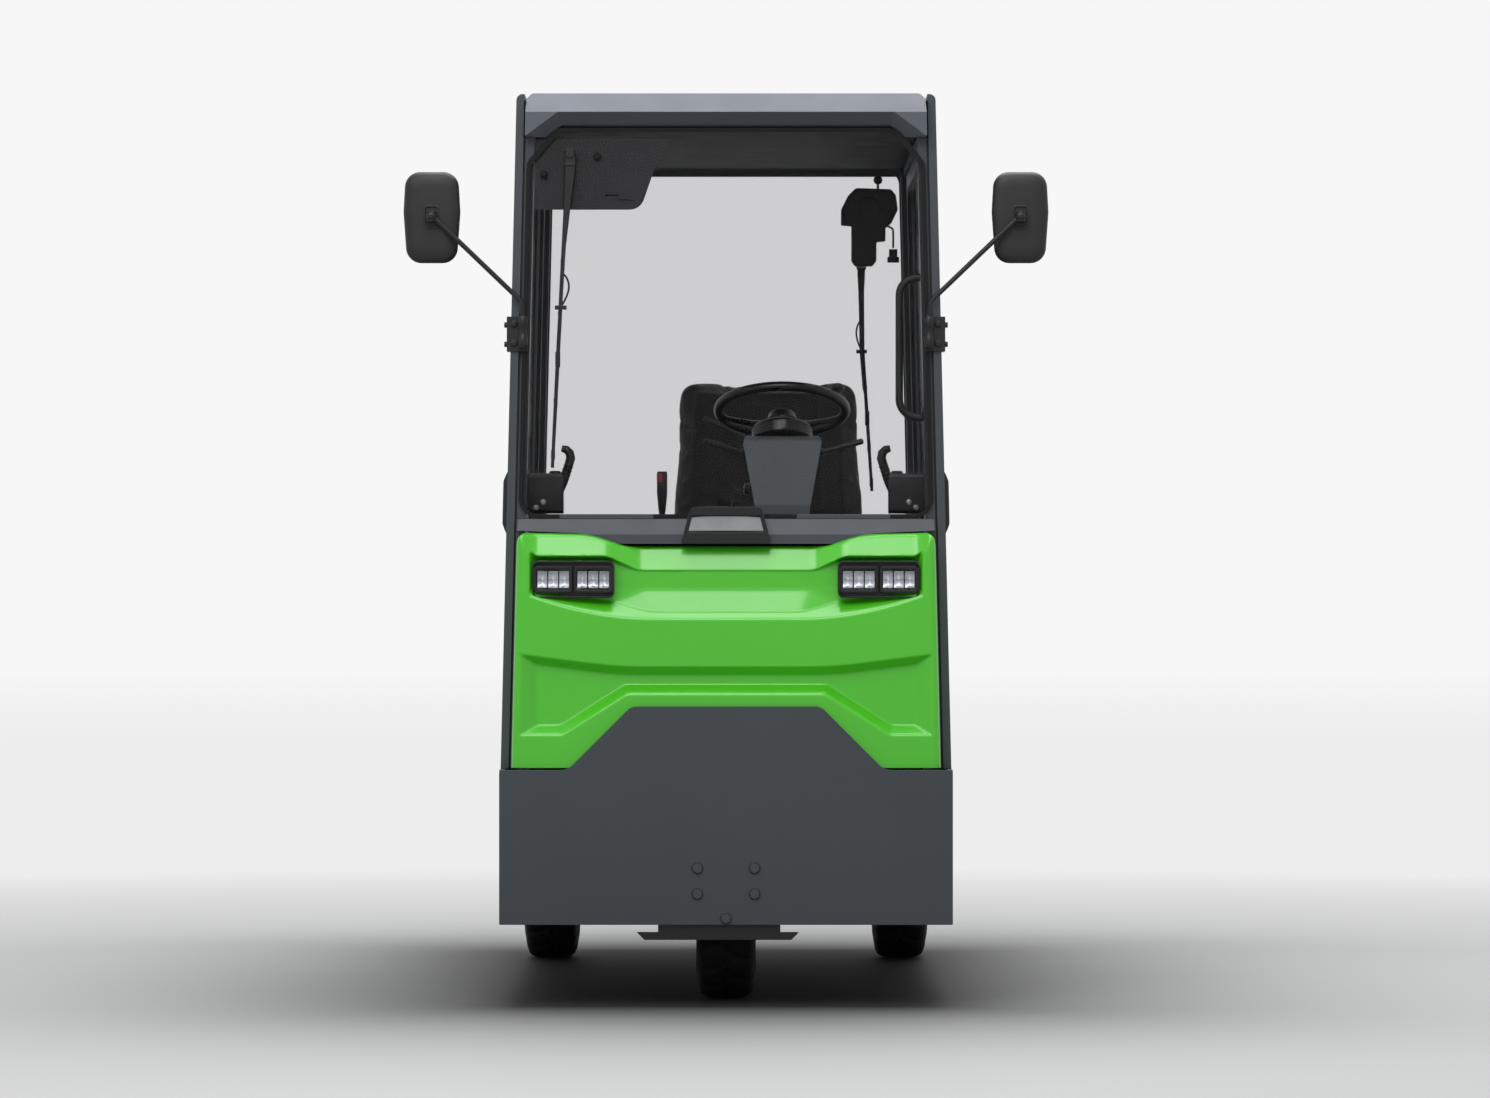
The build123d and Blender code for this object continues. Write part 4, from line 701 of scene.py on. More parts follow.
def centre_lamp():
    """Plain work lamp pod standing on the scuttle, with a hood and two cheeks."""
    low, high = span("centre_lamp")
    face = span("centre_lamp_lens")[0].y
    pod = Form()
    body = mirrored([(78, high.z - 1, 12), (84, LENS_TOP + 3, 4), (high.x, low.z, 4)])
    window = mirrored([(75.5, LENS_TOP + 1, 2), (78.6, LENS_TOP - 12, 2), (83, LENS_FOOT, 1.5)])
    layers = (body, low.y + 4), (body, high.y), (window, high.y), (window, low.y + 5)
    pod.loft([[place("Y", p, at) for p in outline(rows)] for rows, at in layers], capped=False, closed=True)
    hood = mirrored([(72, high.z, 9), (79, LENS_TOP + 5, 3), (74, LENS_TOP + 3, 2)])
    pod.prism(hood, "Y", low.y, low.y + 12)
    pod.prism(mirrored([(75, LENS_TOP, 2), (82, LENS_FOOT, 2)]), "Y", high.y - 12, high.y - 4)
    pod.prism(mirrored([(86, LENS_FOOT - 4, 3), (95, low.z + 6, 3)]), "Y", low.y + 5, high.y - 6)
    pod.done("centre_lamp_pod", "smooth_plastic", CHASSIS, ["centre_lamp"], bevel=1.0)
    lens = Form()
    rows = []
    for j in range(9):
        rise = j / 8
        line = []
        for i in range(25):
            u = -1 + i / 12
            z = LENS_FOOT + 0.5 + rise * (LENS_TOP - LENS_FOOT + 1.5 - 3 * u * u)
            line.append((u * (82.6 - rise * 7.4), face - 0.5 + 3 * u * u + 3 * rise, z))
        rows.append(line)
    lens.loft(rows, wrap=False)
    lens.done("centre_lamp_face", "lamp_face", CHASSIS, ["centre_lamp_lens"], angle=60)


def scuttle_trim():
    """Cover strips under the windshield, with their rivets, and a rubber gasket along the scuttle."""
    low, high = span("cowl")
    seal_low, seal_high = span("windshield_seal")
    y = seal_low.y
    strips = Form()
    for x0, x1 in ((-369, -161), (157, 364)):
        strips.prism(rectangle(x0, x1, seal_low.z - 17, seal_low.z + 9, 3), "Y", y - 3, y)
    strips.done("scuttle_strips", "scuttle_paint", CHASSIS, bevel=0.8)
    rivets = Form()
    for x in (-394, -136, 131, 388):
        rivets.screw((x, y - 0.4, seal_low.z - 14), (0, -1, 0), 3.4, 2.0)
    rivets.done("scuttle_rivets", "bare_steel", CHASSIS)
    channel = Form()
    lip = [(-430, high.z - 1), (430, high.z - 1)]
    channel.tube([(x, y - 1.2, z) for x, z in lip], 3.2, 10)
    channel.done("scuttle_gasket", "seal_rubber", CHASSIS)


# ------------------------------------------------------------------ wheels
TYRE_BODIES = {"front_tyre": "front_wheel", "rear_tyre_left": "rear_wheel_left",
               "rear_tyre_right": "rear_wheel_right"}
TYRE_SECTION = ((0.72, 0.475), (0.80, 0.50), (0.90, 0.57), (0.97, 0.68), (0.985, 0.80), (0.93, 0.905),
                (0.84, 0.965), (0.70, 0.992), (0.45, 0.999), (0.0, 1.0))


def tyre_line(half_width, radius, steps):
    """Section of a tyre from one bead round to the other, as (across, radius) points."""
    right = [(across * half_width, share * radius) for across, share in TYRE_SECTION]
    whole = right + [(-across, height) for across, height in reversed(right[:-1])]
    lengths = [0.0]
    for (a0, r0), (a1, r1) in zip(whole, whole[1:]):
        lengths.append(lengths[-1] + math.hypot(a1 - a0, r1 - r0))
    at = np.linspace(0, lengths[-1], steps)
    return (np.interp(at, lengths, [point[0] for point in whole]),
            np.interp(at, lengths, [point[1] for point in whole]))


def tread(across, turn, lugs=22):
    """Share of the groove depth at a place on the tyre: curved lugs from both shoulders, met in the middle."""
    side = np.sign(across)
    reach = np.abs(across)
    phase = turn * lugs / math.tau + side * 0.25 + 0.22 * np.cos(reach * 2.2)
    wave = np.abs((phase % 1.0) - 0.5) * 2
    cross = np.clip((0.34 - wave) / 0.10, 0, 1) * np.clip((reach - 0.16) / 0.06, 0, 1)
    centre = np.clip((0.05 - np.abs(across + 0.05 * np.sin(turn * lugs))) / 0.02, 0, 1) * 0.8
    return np.maximum(cross, centre)


def tyre(name, sizes):
    low, high = span(name)
    middle = (low + high) / 2
    half_width, radius = (high.x - low.x) / 2, (high.z - low.z) / 2
    around, steps = 352, 46
    across, height = tyre_line(half_width, radius, steps)
    turn = np.linspace(0, math.tau, around, endpoint=False)[:, None]
    share = across[None, :] / half_width
    worn = np.clip((height[None, :] / radius - 0.86) / 0.05, 0, 1)
    radii = height[None, :] - sizes.tread / MILLI * tread(share, turn) * worn
    form = Form()
    rings = []
    for step in range(around):
        y = middle.y + radii[step] * math.cos(turn[step, 0])
        z = middle.z + radii[step] * math.sin(turn[step, 0])
        rings.append(list(zip(middle.x + across, y, z)))
    form.loft(rings, wrap=False, closed=True)
    body = TYRE_BODIES[name]
    form.done(name + "_tread", "tyre_rubber", body, [name], angle=40)
    beads = Form()
    for side in (-1, 1):
        for share, rise in ((0.985, 0.70), (0.992, 0.775)):
            at = middle + Vector((side * half_width * (share - 0.012), 0, 0))
            ring = ring_about(at, (1, 0, 0), radius * rise, 96)
            beads.tube(ring, 1.6, 6, closed=True)
        valve = middle + Vector((side * half_width * 0.62, radius * 0.36, 0))
        beads.rod(valve, valve + Vector((side * 22, 6, 0)), 4, 10)
    beads.done(name + "_beads", "seal_rubber", body)


# ------------------------------------------------------------------ mirrors
def mirrors():
    """Domed mirror housings with their glass, clamps and bent arms."""
    low, high = span("mirror_heads")
    arm_low = span("mirror_arms")[0]
    tall = (high.z - low.z) / 2
    wide = 63.0
    x, z = high.x - wide, (low.z + high.z) / 2
    for side, name in ((-1, "right"), (1, "left")):
        head = Form()
        layers = []
        for depth, inset, soft in ((0.0, 30, 20), (1.5, 18, 25), (5.0, 7.5, 30), (11.0, 2.0, 33), (18.0, 0.0, 34),
                                   (27.0, 0.0, 34), (30.0, 2.2, 32)):
            top, foot, belly = wide - 5 - inset, wide - 8 - inset, wide - inset
            rows = [(x - foot, z - tall + inset, soft), (x + foot, z - tall + inset, soft), (x + belly, z + 12, 90),
                    (x + top, z + tall - inset, soft), (x - top, z + tall - inset, soft), (x - belly, z + 12, 90)]
            layers.append((low.y + depth, [(side * a, b, r) for a, b, r in rows]))
        head.stack("Y", layers, 8)
        rows = [(x - 17, z - 26, 8), (x + 17, z - 26, 8), (x + 17, z + 26, 8), (x - 17, z + 26, 8)]
        rows = [(side * a, b, r) for a, b, r in rows]
        inner = [(side * x + (a - side * x) * 0.78, z + (b - z) * 0.86, r * 0.8) for a, b, r in rows]
        head.frame_ring(rows, inner, "Y", low.y + 3, low.y - 3)
        head.done("mirror_housing_" + name, "black_plastic", CHASSIS,
                  ["mirror_heads"] if side > 0 else [], bevel=0.8, angle=60)
        pane = Form()
        rows = [(x - 53, z - tall + 8, 18), (x + 53, z - tall + 8, 18), (x + 56, z + tall - 7, 18)]
        rows += [(x - 56, z + tall - 7, 18)]
        pane.prism([(side * a, b, r) for a, b, r in rows], "Y", high.y - 2, high.y - 0.3, 8)
        pane.done("mirror_pane_" + name, "mirror_glass", CHASSIS, bevel=0.3)
        arm = Form()
        mirror_arm(arm, side, side * side_of_body(arm_low.z), arm_low.z, Vector((side * x, low.y - 15.3, z)))
        arm.done("mirror_arm_" + name, "black_steel", CHASSIS,
                 ["mirror_arms"] if side > 0 else [], bevel=0.8)


def side_of_body(height):
    """Half width of the body's outer face at a height."""
    low, high = span("cab_pillars")
    return high.x - max(height - low.z, 0) * 0.0236


BRACKET_TALL = 77.0


def mirror_arm(form, side, x, foot, ball):
    """Folded bracket, socket, bent tube and ball clamp of one mirror."""
    top = foot + BRACKET_TALL
    front = span("windshield_seal")[0].y - 0.4
    form.prism(rectangle(x - side * 38, x + side * 8, foot, top, 0), "Y", front - 6, front)
    form.block(min(x + side, x + side * 8), max(x + side, x + side * 8), front, front + 48, foot, top)
    pivot = Vector((x - side * 28, front - 16, foot + 6))
    form.lathe([(0, 8), (4, 10.5), (24, 10.5), (28, 8.5), (46, 8.5), (50, 10.5), (66, 10.5), (71, 8)],
               pivot, (0, 0, 1), 24)
    for at in (foot + 17, top - 17):
        form.bolt((x - side * 8, front - 6, at), (0, -1, 0), 11, 7)
        form.bolt((x + side * 8, front + 30, at), (side, 0, 0), 12, 7)
        form.block(x - side * 28 - 9, x - side * 28 + 9, front - 14, front - 5, at - 5, at + 5)
    knee = pivot + Vector((side * 2, -2, BRACKET_TALL + 26))
    start = pivot + Vector((0, 0, 70))
    end = ball + Vector((-side * 6, 0, -2))
    lead = (end - knee).normalized()
    points = [start]
    for step in range(9):
        t = step / 8
        points.append((1 - t) ** 2 * (knee - Vector((0, 0, 12))) + 2 * t * (1 - t) * knee + t * t * (knee + lead * 12))
    form.tube(points + [end], 5.5, 14)
    form.ball(ball, 13, 22)
    form.lathe([(-13, 7), (-11, 11), (11, 11), (13, 7)], ball, (0, 0, 1), 22)
    form.bolt(ball + Vector((0, -11, 0)), (0, -1, 0), 9, 4)


# ------------------------------------------------------------------ wipers
def wiper_arm(form, rows, glass_y, out, lift=13.0, thick=4.0):
    """Pressed arm from rows of (x, z, half width), standing off the glass."""
    rings = []
    for index, (x, z, half) in enumerate(rows):
        y = glass_y + out * (lift + thick - index * 0.6)
        section = ((-1, 0.2), (-0.8, 1), (0.8, 1), (1, 0.2), (1, -1), (-1, -1))
        rings.append([Vector((x + a * half, y + out * b * thick, z)) for a, b in section])
    form.loft(rings)


def spindle(form, x, z, glass_y, out):
    """Cap nut, washer and sleeve that carry a wiper through its pane."""
    form.lathe([(0.3, 12), (6, 12), (8, 10), (17, 9.5), (20, 11.5), (23.4, 9)], (x, glass_y, z), (0, out, 0), 24)


def wiper_blade(form, top, foot, out):
    """Claw frame of a wiper blade between its two ends."""
    along = foot - top
    form.tube([top, top + along * 0.5 + Vector((0, out * 1.5, 0)), foot], [4.2, 4.6, 3.8], 8)
    for share in (0.06, 0.3, 0.7, 0.94):
        at = top + along * share
        form.block(at.x - 4.4, at.x + 4.4, at.y - 3, at.y + 3, at.z - 10, at.z + 10)
    centre = top + along * 0.5
    form.block(centre.x - 5.5, centre.x + 5.5, centre.y - 4, centre.y + 4, centre.z - 17, centre.z + 17)


def squeegee(name, top, foot, out):
    """Rubber lip between a blade and its pane."""
    form = Form()
    rows = [(-3.2, -2.2), (3.2, -2.2), (3.2, -0.6), (1.0, 0.4), (0.6, 3.2), (-0.6, 3.2), (-1.0, 0.4), (-3.2, -0.6)]
    form.loft([[Vector((end.x + a, end.y - out * b, end.z)) for a, b in rows] for end in (top, foot)])
    form.done(name, "seal_rubber", CHASSIS)


def washer_hose(form, x, y, top, foot, bulge):
    """Short washer hose bowed out from an arm, with its clip."""
    points = []
    for step in range(13):
        t = step / 12
        points.append((x[0] + (x[1] - x[0]) * t + bulge * math.sin(math.pi * t ** 0.8), y, top + (foot - top) * t))
    form.tube(points, 2.3, 8)
    form.block(x[1] - 13, x[1] + 13, y - 4, y + 4, foot - 5, foot + 4)


def front_wiper():
    """Spindle, pressed arm, washer hose, claw frame and rubber of the windshield wiper."""
    low, high = span("front_wiper")
    glass_y = span("windshield")[0].y
    x, z = high.x - 12, high.z - 12
    foot = low.z + 10
    form = Form()
    spindle(form, x, z, glass_y, -1)
    rows = [(x + 1, z + 11, 9), (x + 1, z + 7, 12), (x + 1, z - 18, 13.4), (x, z - 42, 12.6), (x - 6.5, z - 121, 7.6)]
    rows += [(x - 13.6, z - 205, 4.8), (x - 19, z - 300, 4.4), (x - 23.5, z - 392, 4.4)]
    wiper_arm(form, rows, glass_y, -1, 14)
    form.block(x - 12, x + 12, glass_y - 24, glass_y - 13, z - 26, z - 21)
    washer_hose(form, (x - 15, x - 20), glass_y - 18, z - 265, z - 340, 15)
    top = Vector((x - 15, glass_y - 8, z - 215))
    end = Vector((low.x + 5, glass_y - 8, foot))
    wiper_blade(form, top, end, -1)
    form.done("front_wiper_arm", "black_steel", CHASSIS, ["front_wiper"], bevel=0.5)
    squeegee("front_wiper_rubber", top + Vector((0, 4, 0)), end + Vector((0, 4, 0)), -1)


def rear_wiper():
    """Wiper behind the rear window, with its spindle through the glass."""
    low, high = span("rear_wiper")
    glass_y = span("rear_window")[1].y
    x, z = low.x + 12, high.z - 12
    foot = low.z + 8
    form = Form()
    spindle(form, x, z, glass_y, 1)
    rows = [(x, z + 10, 8), (x, z - 14, 9.4), (x, z - 60, 7), (x + 1, z - 120, 6.4), (x + 2, z - 205, 6)]
    rows += [(x + 9, z - 300, 5.4)]
    wiper_arm(form, rows, glass_y, 1, 11, 3.6)
    washer_hose(form, (x + 1, x + 1), glass_y + 15, z - 126, z - 204, -13)
    top = Vector((x + 3, glass_y + 7.6, z - 190))
    end = Vector((high.x - 12, glass_y + 7.6, foot))
    wiper_blade(form, top, end, 1)
    form.done("rear_wiper_arm", "black_steel", CHASSIS, ["rear_wiper"], bevel=0.5)
    squeegee("rear_wiper_rubber", top - Vector((0, 3.6, 0)), end - Vector((0, 3.6, 0)), 1)


MOTOR_CASE = ((-15, 189, 12), (70, 186, 10), (82, 172, 6), (87, 136, 12), (71, 103, 10), (57, 92, 4), (57, 60, 3),
              (35, 57, 3), (35, 12, 6), (25, -1, 7), (-18, -1, 7), (-26, 12, 8), (-26, 96, 3), (-51, 98, 3),
              (-51, 136, 12), (-34, 170, 12))


def rear_wiper_motor():
    """Wiper motor inside the rear window: gear case, motor can, push knob, and its stiff lead with a plug."""
    low, high = span("rear_wiper_motor")
    x, z = span("rear_wiper")[0].x + 12, span("rear_wiper")[1].z - 12
    form = Form()
    case = [(x + a, z + b, r) for a, b, r in MOTOR_CASE]
    inner = [(x + 20 + (a - 20) * 0.94, z + 96 + (b - 96) * 0.96, r) for a, b, r in MOTOR_CASE]
    form.stack("Y", [(low.y, inner), (low.y + 4, case), (high.y - 22, case)])
    form.lathe([(0, 27), (3, 26), (5, 20), (6, 12)], (x + 18, low.y + 0.2, z + 140), (0, -1, 0), 28)
    form.lathe([(0, 17), (high.y - low.y + 26, 17), (high.y - low.y + 28, 14)], (x, low.y + 8, z + 14), (0, 1, 0), 24)
    for a, b in ((-24, 124), (62, 120), (60, 172), (-8, 176), (-14, 16), (22, 16)):
        form.screw((x + a, low.y + 0.4, z + b), (0, -1, 0), 4.5)
    middle = low.y + 20
    form.rod((x + 39, middle, z + 184), (x + 39, middle, z + 204), 3)
    form.ball((x + 39, middle, z + 209), 11, 22)
    lead = [(x + 60, middle, z + 98), (x + 68, middle, z + 95), (x + 75, middle, z + 90), (x + 76, middle, z + 82),
            (x + 76, middle, z + 44)]
    form.tube(lead, 2.6, 10)
    form.block(x + 66, x + 86, middle - 8, middle + 8, z + 22, z + 41)
    form.block(x + 62, x + 90, middle - 10, middle + 10, z + 9, z + 22)
    form.done("rear_wiper_drive", "black_plastic", CHASSIS, ["rear_wiper_motor"], bevel=1.0)




# ------------------------------------------------------------------ seat
PAD_FRAMES = 20


def evaluated_mesh(piece, name):
    """Mesh of a piece with its modifiers applied."""
    bpy.context.view_layer.update()
    seen = piece.evaluated_get(bpy.context.evaluated_depsgraph_get())
    data = bpy.data.meshes.new_from_object(seen)
    data.name = name
    return data





def puffed(form, name, cap, voxel=6.0):
    """Closed pad swelled like stuffed cloth: remeshed, blown up a little and held within a cap."""
    bmesh.ops.recalc_face_normals(form.mesh, faces=form.mesh.faces)
    data = bpy.data.meshes.new(name + "_start")
    form.mesh.to_mesh(data)
    form.mesh.free()
    pad = bpy.data.objects.new(name + "_start", data)
    bpy.context.scene.collection.objects.link(pad)
    remesh = pad.modifiers.new("Remesh", "REMESH")
    remesh.mode = "VOXEL"
    remesh.voxel_size = voxel * MILLI
    start = evaluated_mesh(pad, name + "_rest")
    bpy.data.objects.remove(pad)
    rest = np.array([v.co for v in start.vertices])
    cloth_piece = bpy.data.objects.new(name + "_cloth", start)
    bpy.context.scene.collection.objects.link(cloth_piece)
    cloth = cloth_piece.modifiers.new("Cloth", "CLOTH")
    cloth.settings.quality = 4
    cloth.settings.mass = 0.4
    cloth.settings.use_pressure = True
    cloth.settings.uniform_pressure_force = 4.0
    cloth.settings.effector_weights.gravity = 0.0
    cloth.point_cache.frame_start = 1
    cloth.point_cache.frame_end = PAD_FRAMES
    for step in range(1, PAD_FRAMES + 1):
        bpy.context.scene.frame_set(step)
    swelled = evaluated_mesh(cloth_piece, name)
    bpy.data.objects.remove(cloth_piece)
    bpy.context.scene.frame_set(1)
    moved = np.array([v.co for v in swelled.vertices]) - rest
    reach = np.linalg.norm(moved, axis=1, keepdims=True)
    limit = cap * MILLI
    moved = moved * (np.minimum(reach, limit) / np.maximum(reach, 1e-9))
    swelled.vertices.foreach_set("co", (rest + moved).astype(np.float32).ravel())
    swelled.update()
    return swelled


def press(data, lines, depth, width, axis, face):
    """Draws a pad in along sewn lines, each of (a0, b0, a1, b1) in millimetres on the pad's face."""
    co = np.array([v.co for v in data.vertices]) / MILLI
    flat = co[:, [0, 2]] if axis == 1 else co[:, [0, 1]]
    pull = np.zeros(len(co))
    for a0, b0, a1, b1 in lines:
        start, run = np.array((a0, b0)), np.array((a1 - a0, b1 - b0))
        share = np.clip(((flat - start) @ run) / (run @ run), 0, 1)[:, None]
        gap = np.linalg.norm(flat - start - share * run, axis=1)
        pull = np.maximum(pull, np.exp(-(gap / width) ** 2))
    facing = np.clip((co[:, axis] - face[0]) / (face[1] - face[0]), 0, 1)
    co[:, axis] -= np.sign(face[1] - face[0]) * depth * pull * facing
    data.vertices.foreach_set("co", (co * MILLI).astype(np.float32).ravel())
    data.update()


def seat():
    """Sprung driver's seat: crowned cushion and back rest with bolsters and sewn lines."""
    low, high = span("seat_cushion")
    inset = 13.0
    form = Form()
    rows = [(low.y + inset, low.z + 6, 22), (low.y + inset - 2, high.z - 24, 34), (high.y - inset, high.z - 30, 22),
            (high.y - inset, low.z + 6, 20)]
    form.prism(rows, "X", low.x + inset, high.x - inset, 8)
    data = puffed(form, "seat_cushion_cover", 22)
    middle = (low.x + high.x) / 2
    rib = 150.0
    lines = [(middle - rib, low.y + 46, middle - rib, high.y - 30), (middle + rib, low.y + 46, middle + rib, high.y - 30)]
    lines += [(middle - rib, y, middle + rib, y) for y in (low.y + 46, low.y + 130, low.y + 214)]
    press(data, lines, 9, 7, 2, (high.z - 60, high.z - 20))
    cushion = settle("seat_cushion_cover", data, "seat_cover", CHASSIS, ["seat_cushion"], angle=80, levels=1)
    seat_rest(middle)
    seat_base(middle)


def rest_rows(low, high, middle, inset, soft):
    """Outline of the back rest at a distance in from its edge: narrow at the top, straight below its middle."""
    half = (high.x - low.x) / 2 + 8 - inset
    top = half - 27
    waist = low.z + 290
    return [(middle - top, high.z - inset, soft), (middle + top, high.z - inset, soft), (middle + half, waist, 40),
            (middle + half, low.z + inset, soft * 0.6), (middle - half, low.z + inset, soft * 0.6),
            (middle - half, waist, 40)]


def seat_rest(middle):
    """Crowned back rest with its sewn edge and bolster lines, and the shell behind it."""
    low, high = span("seat_back")
    thick = high.y - low.y
    form = Form()
    layers = [(low.y + depth, rest_rows(low, high, middle, inset, 38))
              for depth, inset in ((8, 20), (18, 3), (thick - 24, 0), (thick - 10, 9))]
    form.stack("Y", layers, 8)
    data = puffed(form, "seat_back_cover", 20)
    half = (high.x - low.x) / 2
    edge = [(middle - half + 44, low.z + 40), (middle - half + 62, high.z - 34), (middle + half - 62, high.z - 34),
            (middle + half - 44, low.z + 40)]
    lines = [(*start, *end) for start, end in zip(edge, edge[1:])]
    lines += [(middle + side * 132, low.z + 60, middle + side * 118, high.z - 34) for side in (-1, 1)]
    press(data, lines, -5, 6, 1, (low.y + 50, low.y + 20))
    creases = [(middle - 150, low.z + 470, middle - 40, low.z + 400), (middle - 170, low.z + 330, middle - 60, low.z + 280)]
    press(data, creases, -3, 10, 1, (low.y + 50, low.y + 20))
    back = settle("seat_back_cover", data, "seat_cover", CHASSIS, ["seat_back"], angle=80, levels=1)
    shell = Form()
    rows = rest_rows(low, high, middle, 16, 36)
    inner = rest_rows(low, high, middle, 34, 30)
    shell.stack("Y", [(high.y - 14, rows), (high.y - 4, rows), (high.y, inner)], 6)
    shell.done("seat_back_shell", "black_plastic", CHASSIS, bevel=1.5)


def seat_base(middle):
    """Bellows, slides and adjusting lever under the cushion."""
    low, high = span("seat_pan")
    form = Form()
    z = low.z + 22
    for step in range(5):
        out = 0 if step % 2 else 7
        base = z + 2 + step * 9
        form.loft([[place("Z", p, at) for p in outline(rectangle(
            middle - 171 - grow, middle + 171 + grow, -171 - grow, 151 + grow, 18))]
            for at, grow in ((base, -1), (base + 4.5, out), (base + 9, -1))])
    form.done("seat_bellows", "mat_rubber", CHASSIS)
    metal = Form()
    for side in (-1, 1):
        x = middle + side * 178
        metal.block(x - 9, x + 9, -196, 176, low.z, low.z + 14)
        for y in (-180, 160):
            metal.bolt((x, y, low.z + 14), (0, 0, 1), 11, 6)
    metal.tube([(middle + 60, -150, z - 6), (middle + 60, -232, z - 6), (middle + 66, -240, z - 4),
                (middle + 120, -242, z + 4)], 5, 12)
    metal.done("seat_slides", "black_steel", CHASSIS, bevel=1.0)


def belt_buckle():
    """Buckle on its stalk, with a red release."""
    low, high = span("belt_buckle")
    x = (low.x + high.x) / 2
    y = (low.y + high.y) / 2
    form = Form()
    form.stack("Z", [(high.z - 104, rectangle(x - 7, x + 7, y - 6, y + 6, 3)),
                     (high.z - 90, rectangle(x - 9, x + 9, y - 8, y + 8, 4)),
                     (high.z - 52, rectangle(x - 12.4, x + 12.4, y - 9, y + 9, 4)),
                     (high.z - 5, rectangle(x - 12.4, x + 12.4, y - 9, y + 9, 4)),
                     (high.z, rectangle(x - 11, x + 11, y - 8, y + 8, 4))])
    form.tube([(x, y, low.z + 2), (x, y, high.z - 98)], 5.5, 12, flat=0.6)
    form.done("belt_buckle_body", "smooth_plastic", CHASSIS, ["belt_buckle"], bevel=0.8)
    button = Form()
    button.prism(rectangle(x - 12.8, x + 1, high.z - 26, high.z - 4, 3), "Y", low.y - 0.6, low.y + 4)
    button.done("belt_buckle_button", "release_red", CHASSIS, bevel=0.7)


# ------------------------------------------------------------------ steering
def steering_matrix():
    """Frame of the steering wheel: its own middle, with Z up the column."""
    joint = next(item for item in frame["joints"] if item["name"] == "steering_wheel_turn")
    up = Vector(joint["axis"]).normalized()
    across = Vector((1, 0, 0))
    turn = Matrix((across, up.cross(across), up)).transposed().to_4x4()
    return Matrix.Translation(Vector(joint["pos_m"])) @ turn


SPOKE_ANGLES = (20, 90, 160)
SPOKE_ROWS = ((0.2, 17, -33, 6), (0.45, 13.5, -26, 5.4), (0.75, 11.5, -12, 5), (0.94, 13.5, -3, 5.5), (1.0, 13, -1, 5))
SPOKE_SECTION = ((-1, -0.3), (-0.75, -1), (0.75, -1), (1, -0.3), (1, 0.4), (0.7, 1), (-0.7, 1), (-1, 0.4))


def steering_wheel():
    """Padded rim, three spokes, hub with a plain cap, and spinner knob."""
    low, high = span("steering_wheel")
    radius = (high.x - low.x) / 2 - 11.5
    form = Form()
    form.tube(ring_about((0, 0, 0), (0, 0, 1), radius, 96), 11.4, 16, closed=True)
    for angle in SPOKE_ANGLES:
        turn = math.radians(angle)
        along = Vector((math.cos(turn), math.sin(turn), 0))
        across = Vector((-math.sin(turn), math.cos(turn), 0))
        rings = []
        for share, width, drop, thick in SPOKE_ROWS:
            middle = along * radius * share + Vector((0, 0, drop))
            rings.append([middle + across * a * width + Vector((0, 0, b * thick)) for a, b in SPOKE_SECTION])
        form.loft(rings)
    form.lathe([(-40, 34), (-36, 38), (-26, 38), (-20, 33), (-12, 31), (-7, 27), (-6, 0.01)], (0, 0, 0), (0, 0, 1), 40)
    form.turn(steering_matrix())
    form.done("steering_wheel_rim", "smooth_plastic", "steering_wheel", ["steering_wheel"], bevel=0.8,
              angle=38)
    knob = Form()
    knob.lathe([(-6.5, 24), (-5.4, 23.5), (-4.6, 20), (-4.2, 12), (-4.1, 0.01)], (0, 0, 0), (0, 0, 1), 36)
    knob.lathe([(-90, 11.9), (-34, 11.9)], (0, 0, 0), (0, 0, 1), 20)
    turn = math.radians(-30)
    foot = Vector((math.cos(turn) * radius, math.sin(turn) * radius, 8))
    knob.lathe([(0, 9), (4, 9), (5, 7), (8, 7), (10, 12), (14, 15.5), (20, 15.8), (25, 12), (27, 0.01)],
               foot, (0, 0, 1), 28)
    knob.turn(steering_matrix())
    knob.done("steering_knob", "black_plastic", "steering_wheel")


STALKS = ((-1, 0, 0, 92, 27, 0), (1, 0, 0, 98, 27, 0), (-1, -12, 31, 104, 49, 8))


def console():
    """Trim of the steering column: collar cover, three levers with their grips, and the key switch."""
    low, high = span("steering_console")
    x = (low.x + high.x) / 2
    stalk_low, stalk_high = span("console_controls")
    y = (stalk_low.y + stalk_high.y) / 2
    collar = Form()
    collar.lathe([(-79, 61.5), (-76, 70.5), (-50, 70.5), (-45, 67), (-43, 60), (-41.5, 56), (-41.5, 40), (-60, 38)],
                 (0, 0, 0), (0, 0, 1), 56)
    collar.turn(steering_matrix())
    collar.done("column_collar", "smooth_plastic", CHASSIS, bevel=1.0)
    stalks = Form()
    for side, inward, rise, reach, climb, back in STALKS:
        start = Vector((x + side * (89.6 + inward), y + back, stalk_low.z + 6.7 + rise))
        tip = start + Vector((side * reach, 0, climb))
        along = (tip - start).normalized()
        stalks.tube([start - along * 3, start + along * reach * 0.4, tip - along * 54], [5.4, 4.4, 4.6], 12)
        stalks.tube([tip - along * 58, tip - along * 44, tip - along * 3, tip], [5.4, 7.6, 6.8, 3.4], 12)
        stalks.lathe([(0, 9), (5, 9), (8, 6), (13, 5)], start - Vector((side, 0, 0)), (side, 0, 0.2), 16)
    stalks.done("console_stalks", "black_plastic", CHASSIS, ["console_controls"], bevel=0.4)
    key_switch(x, y)


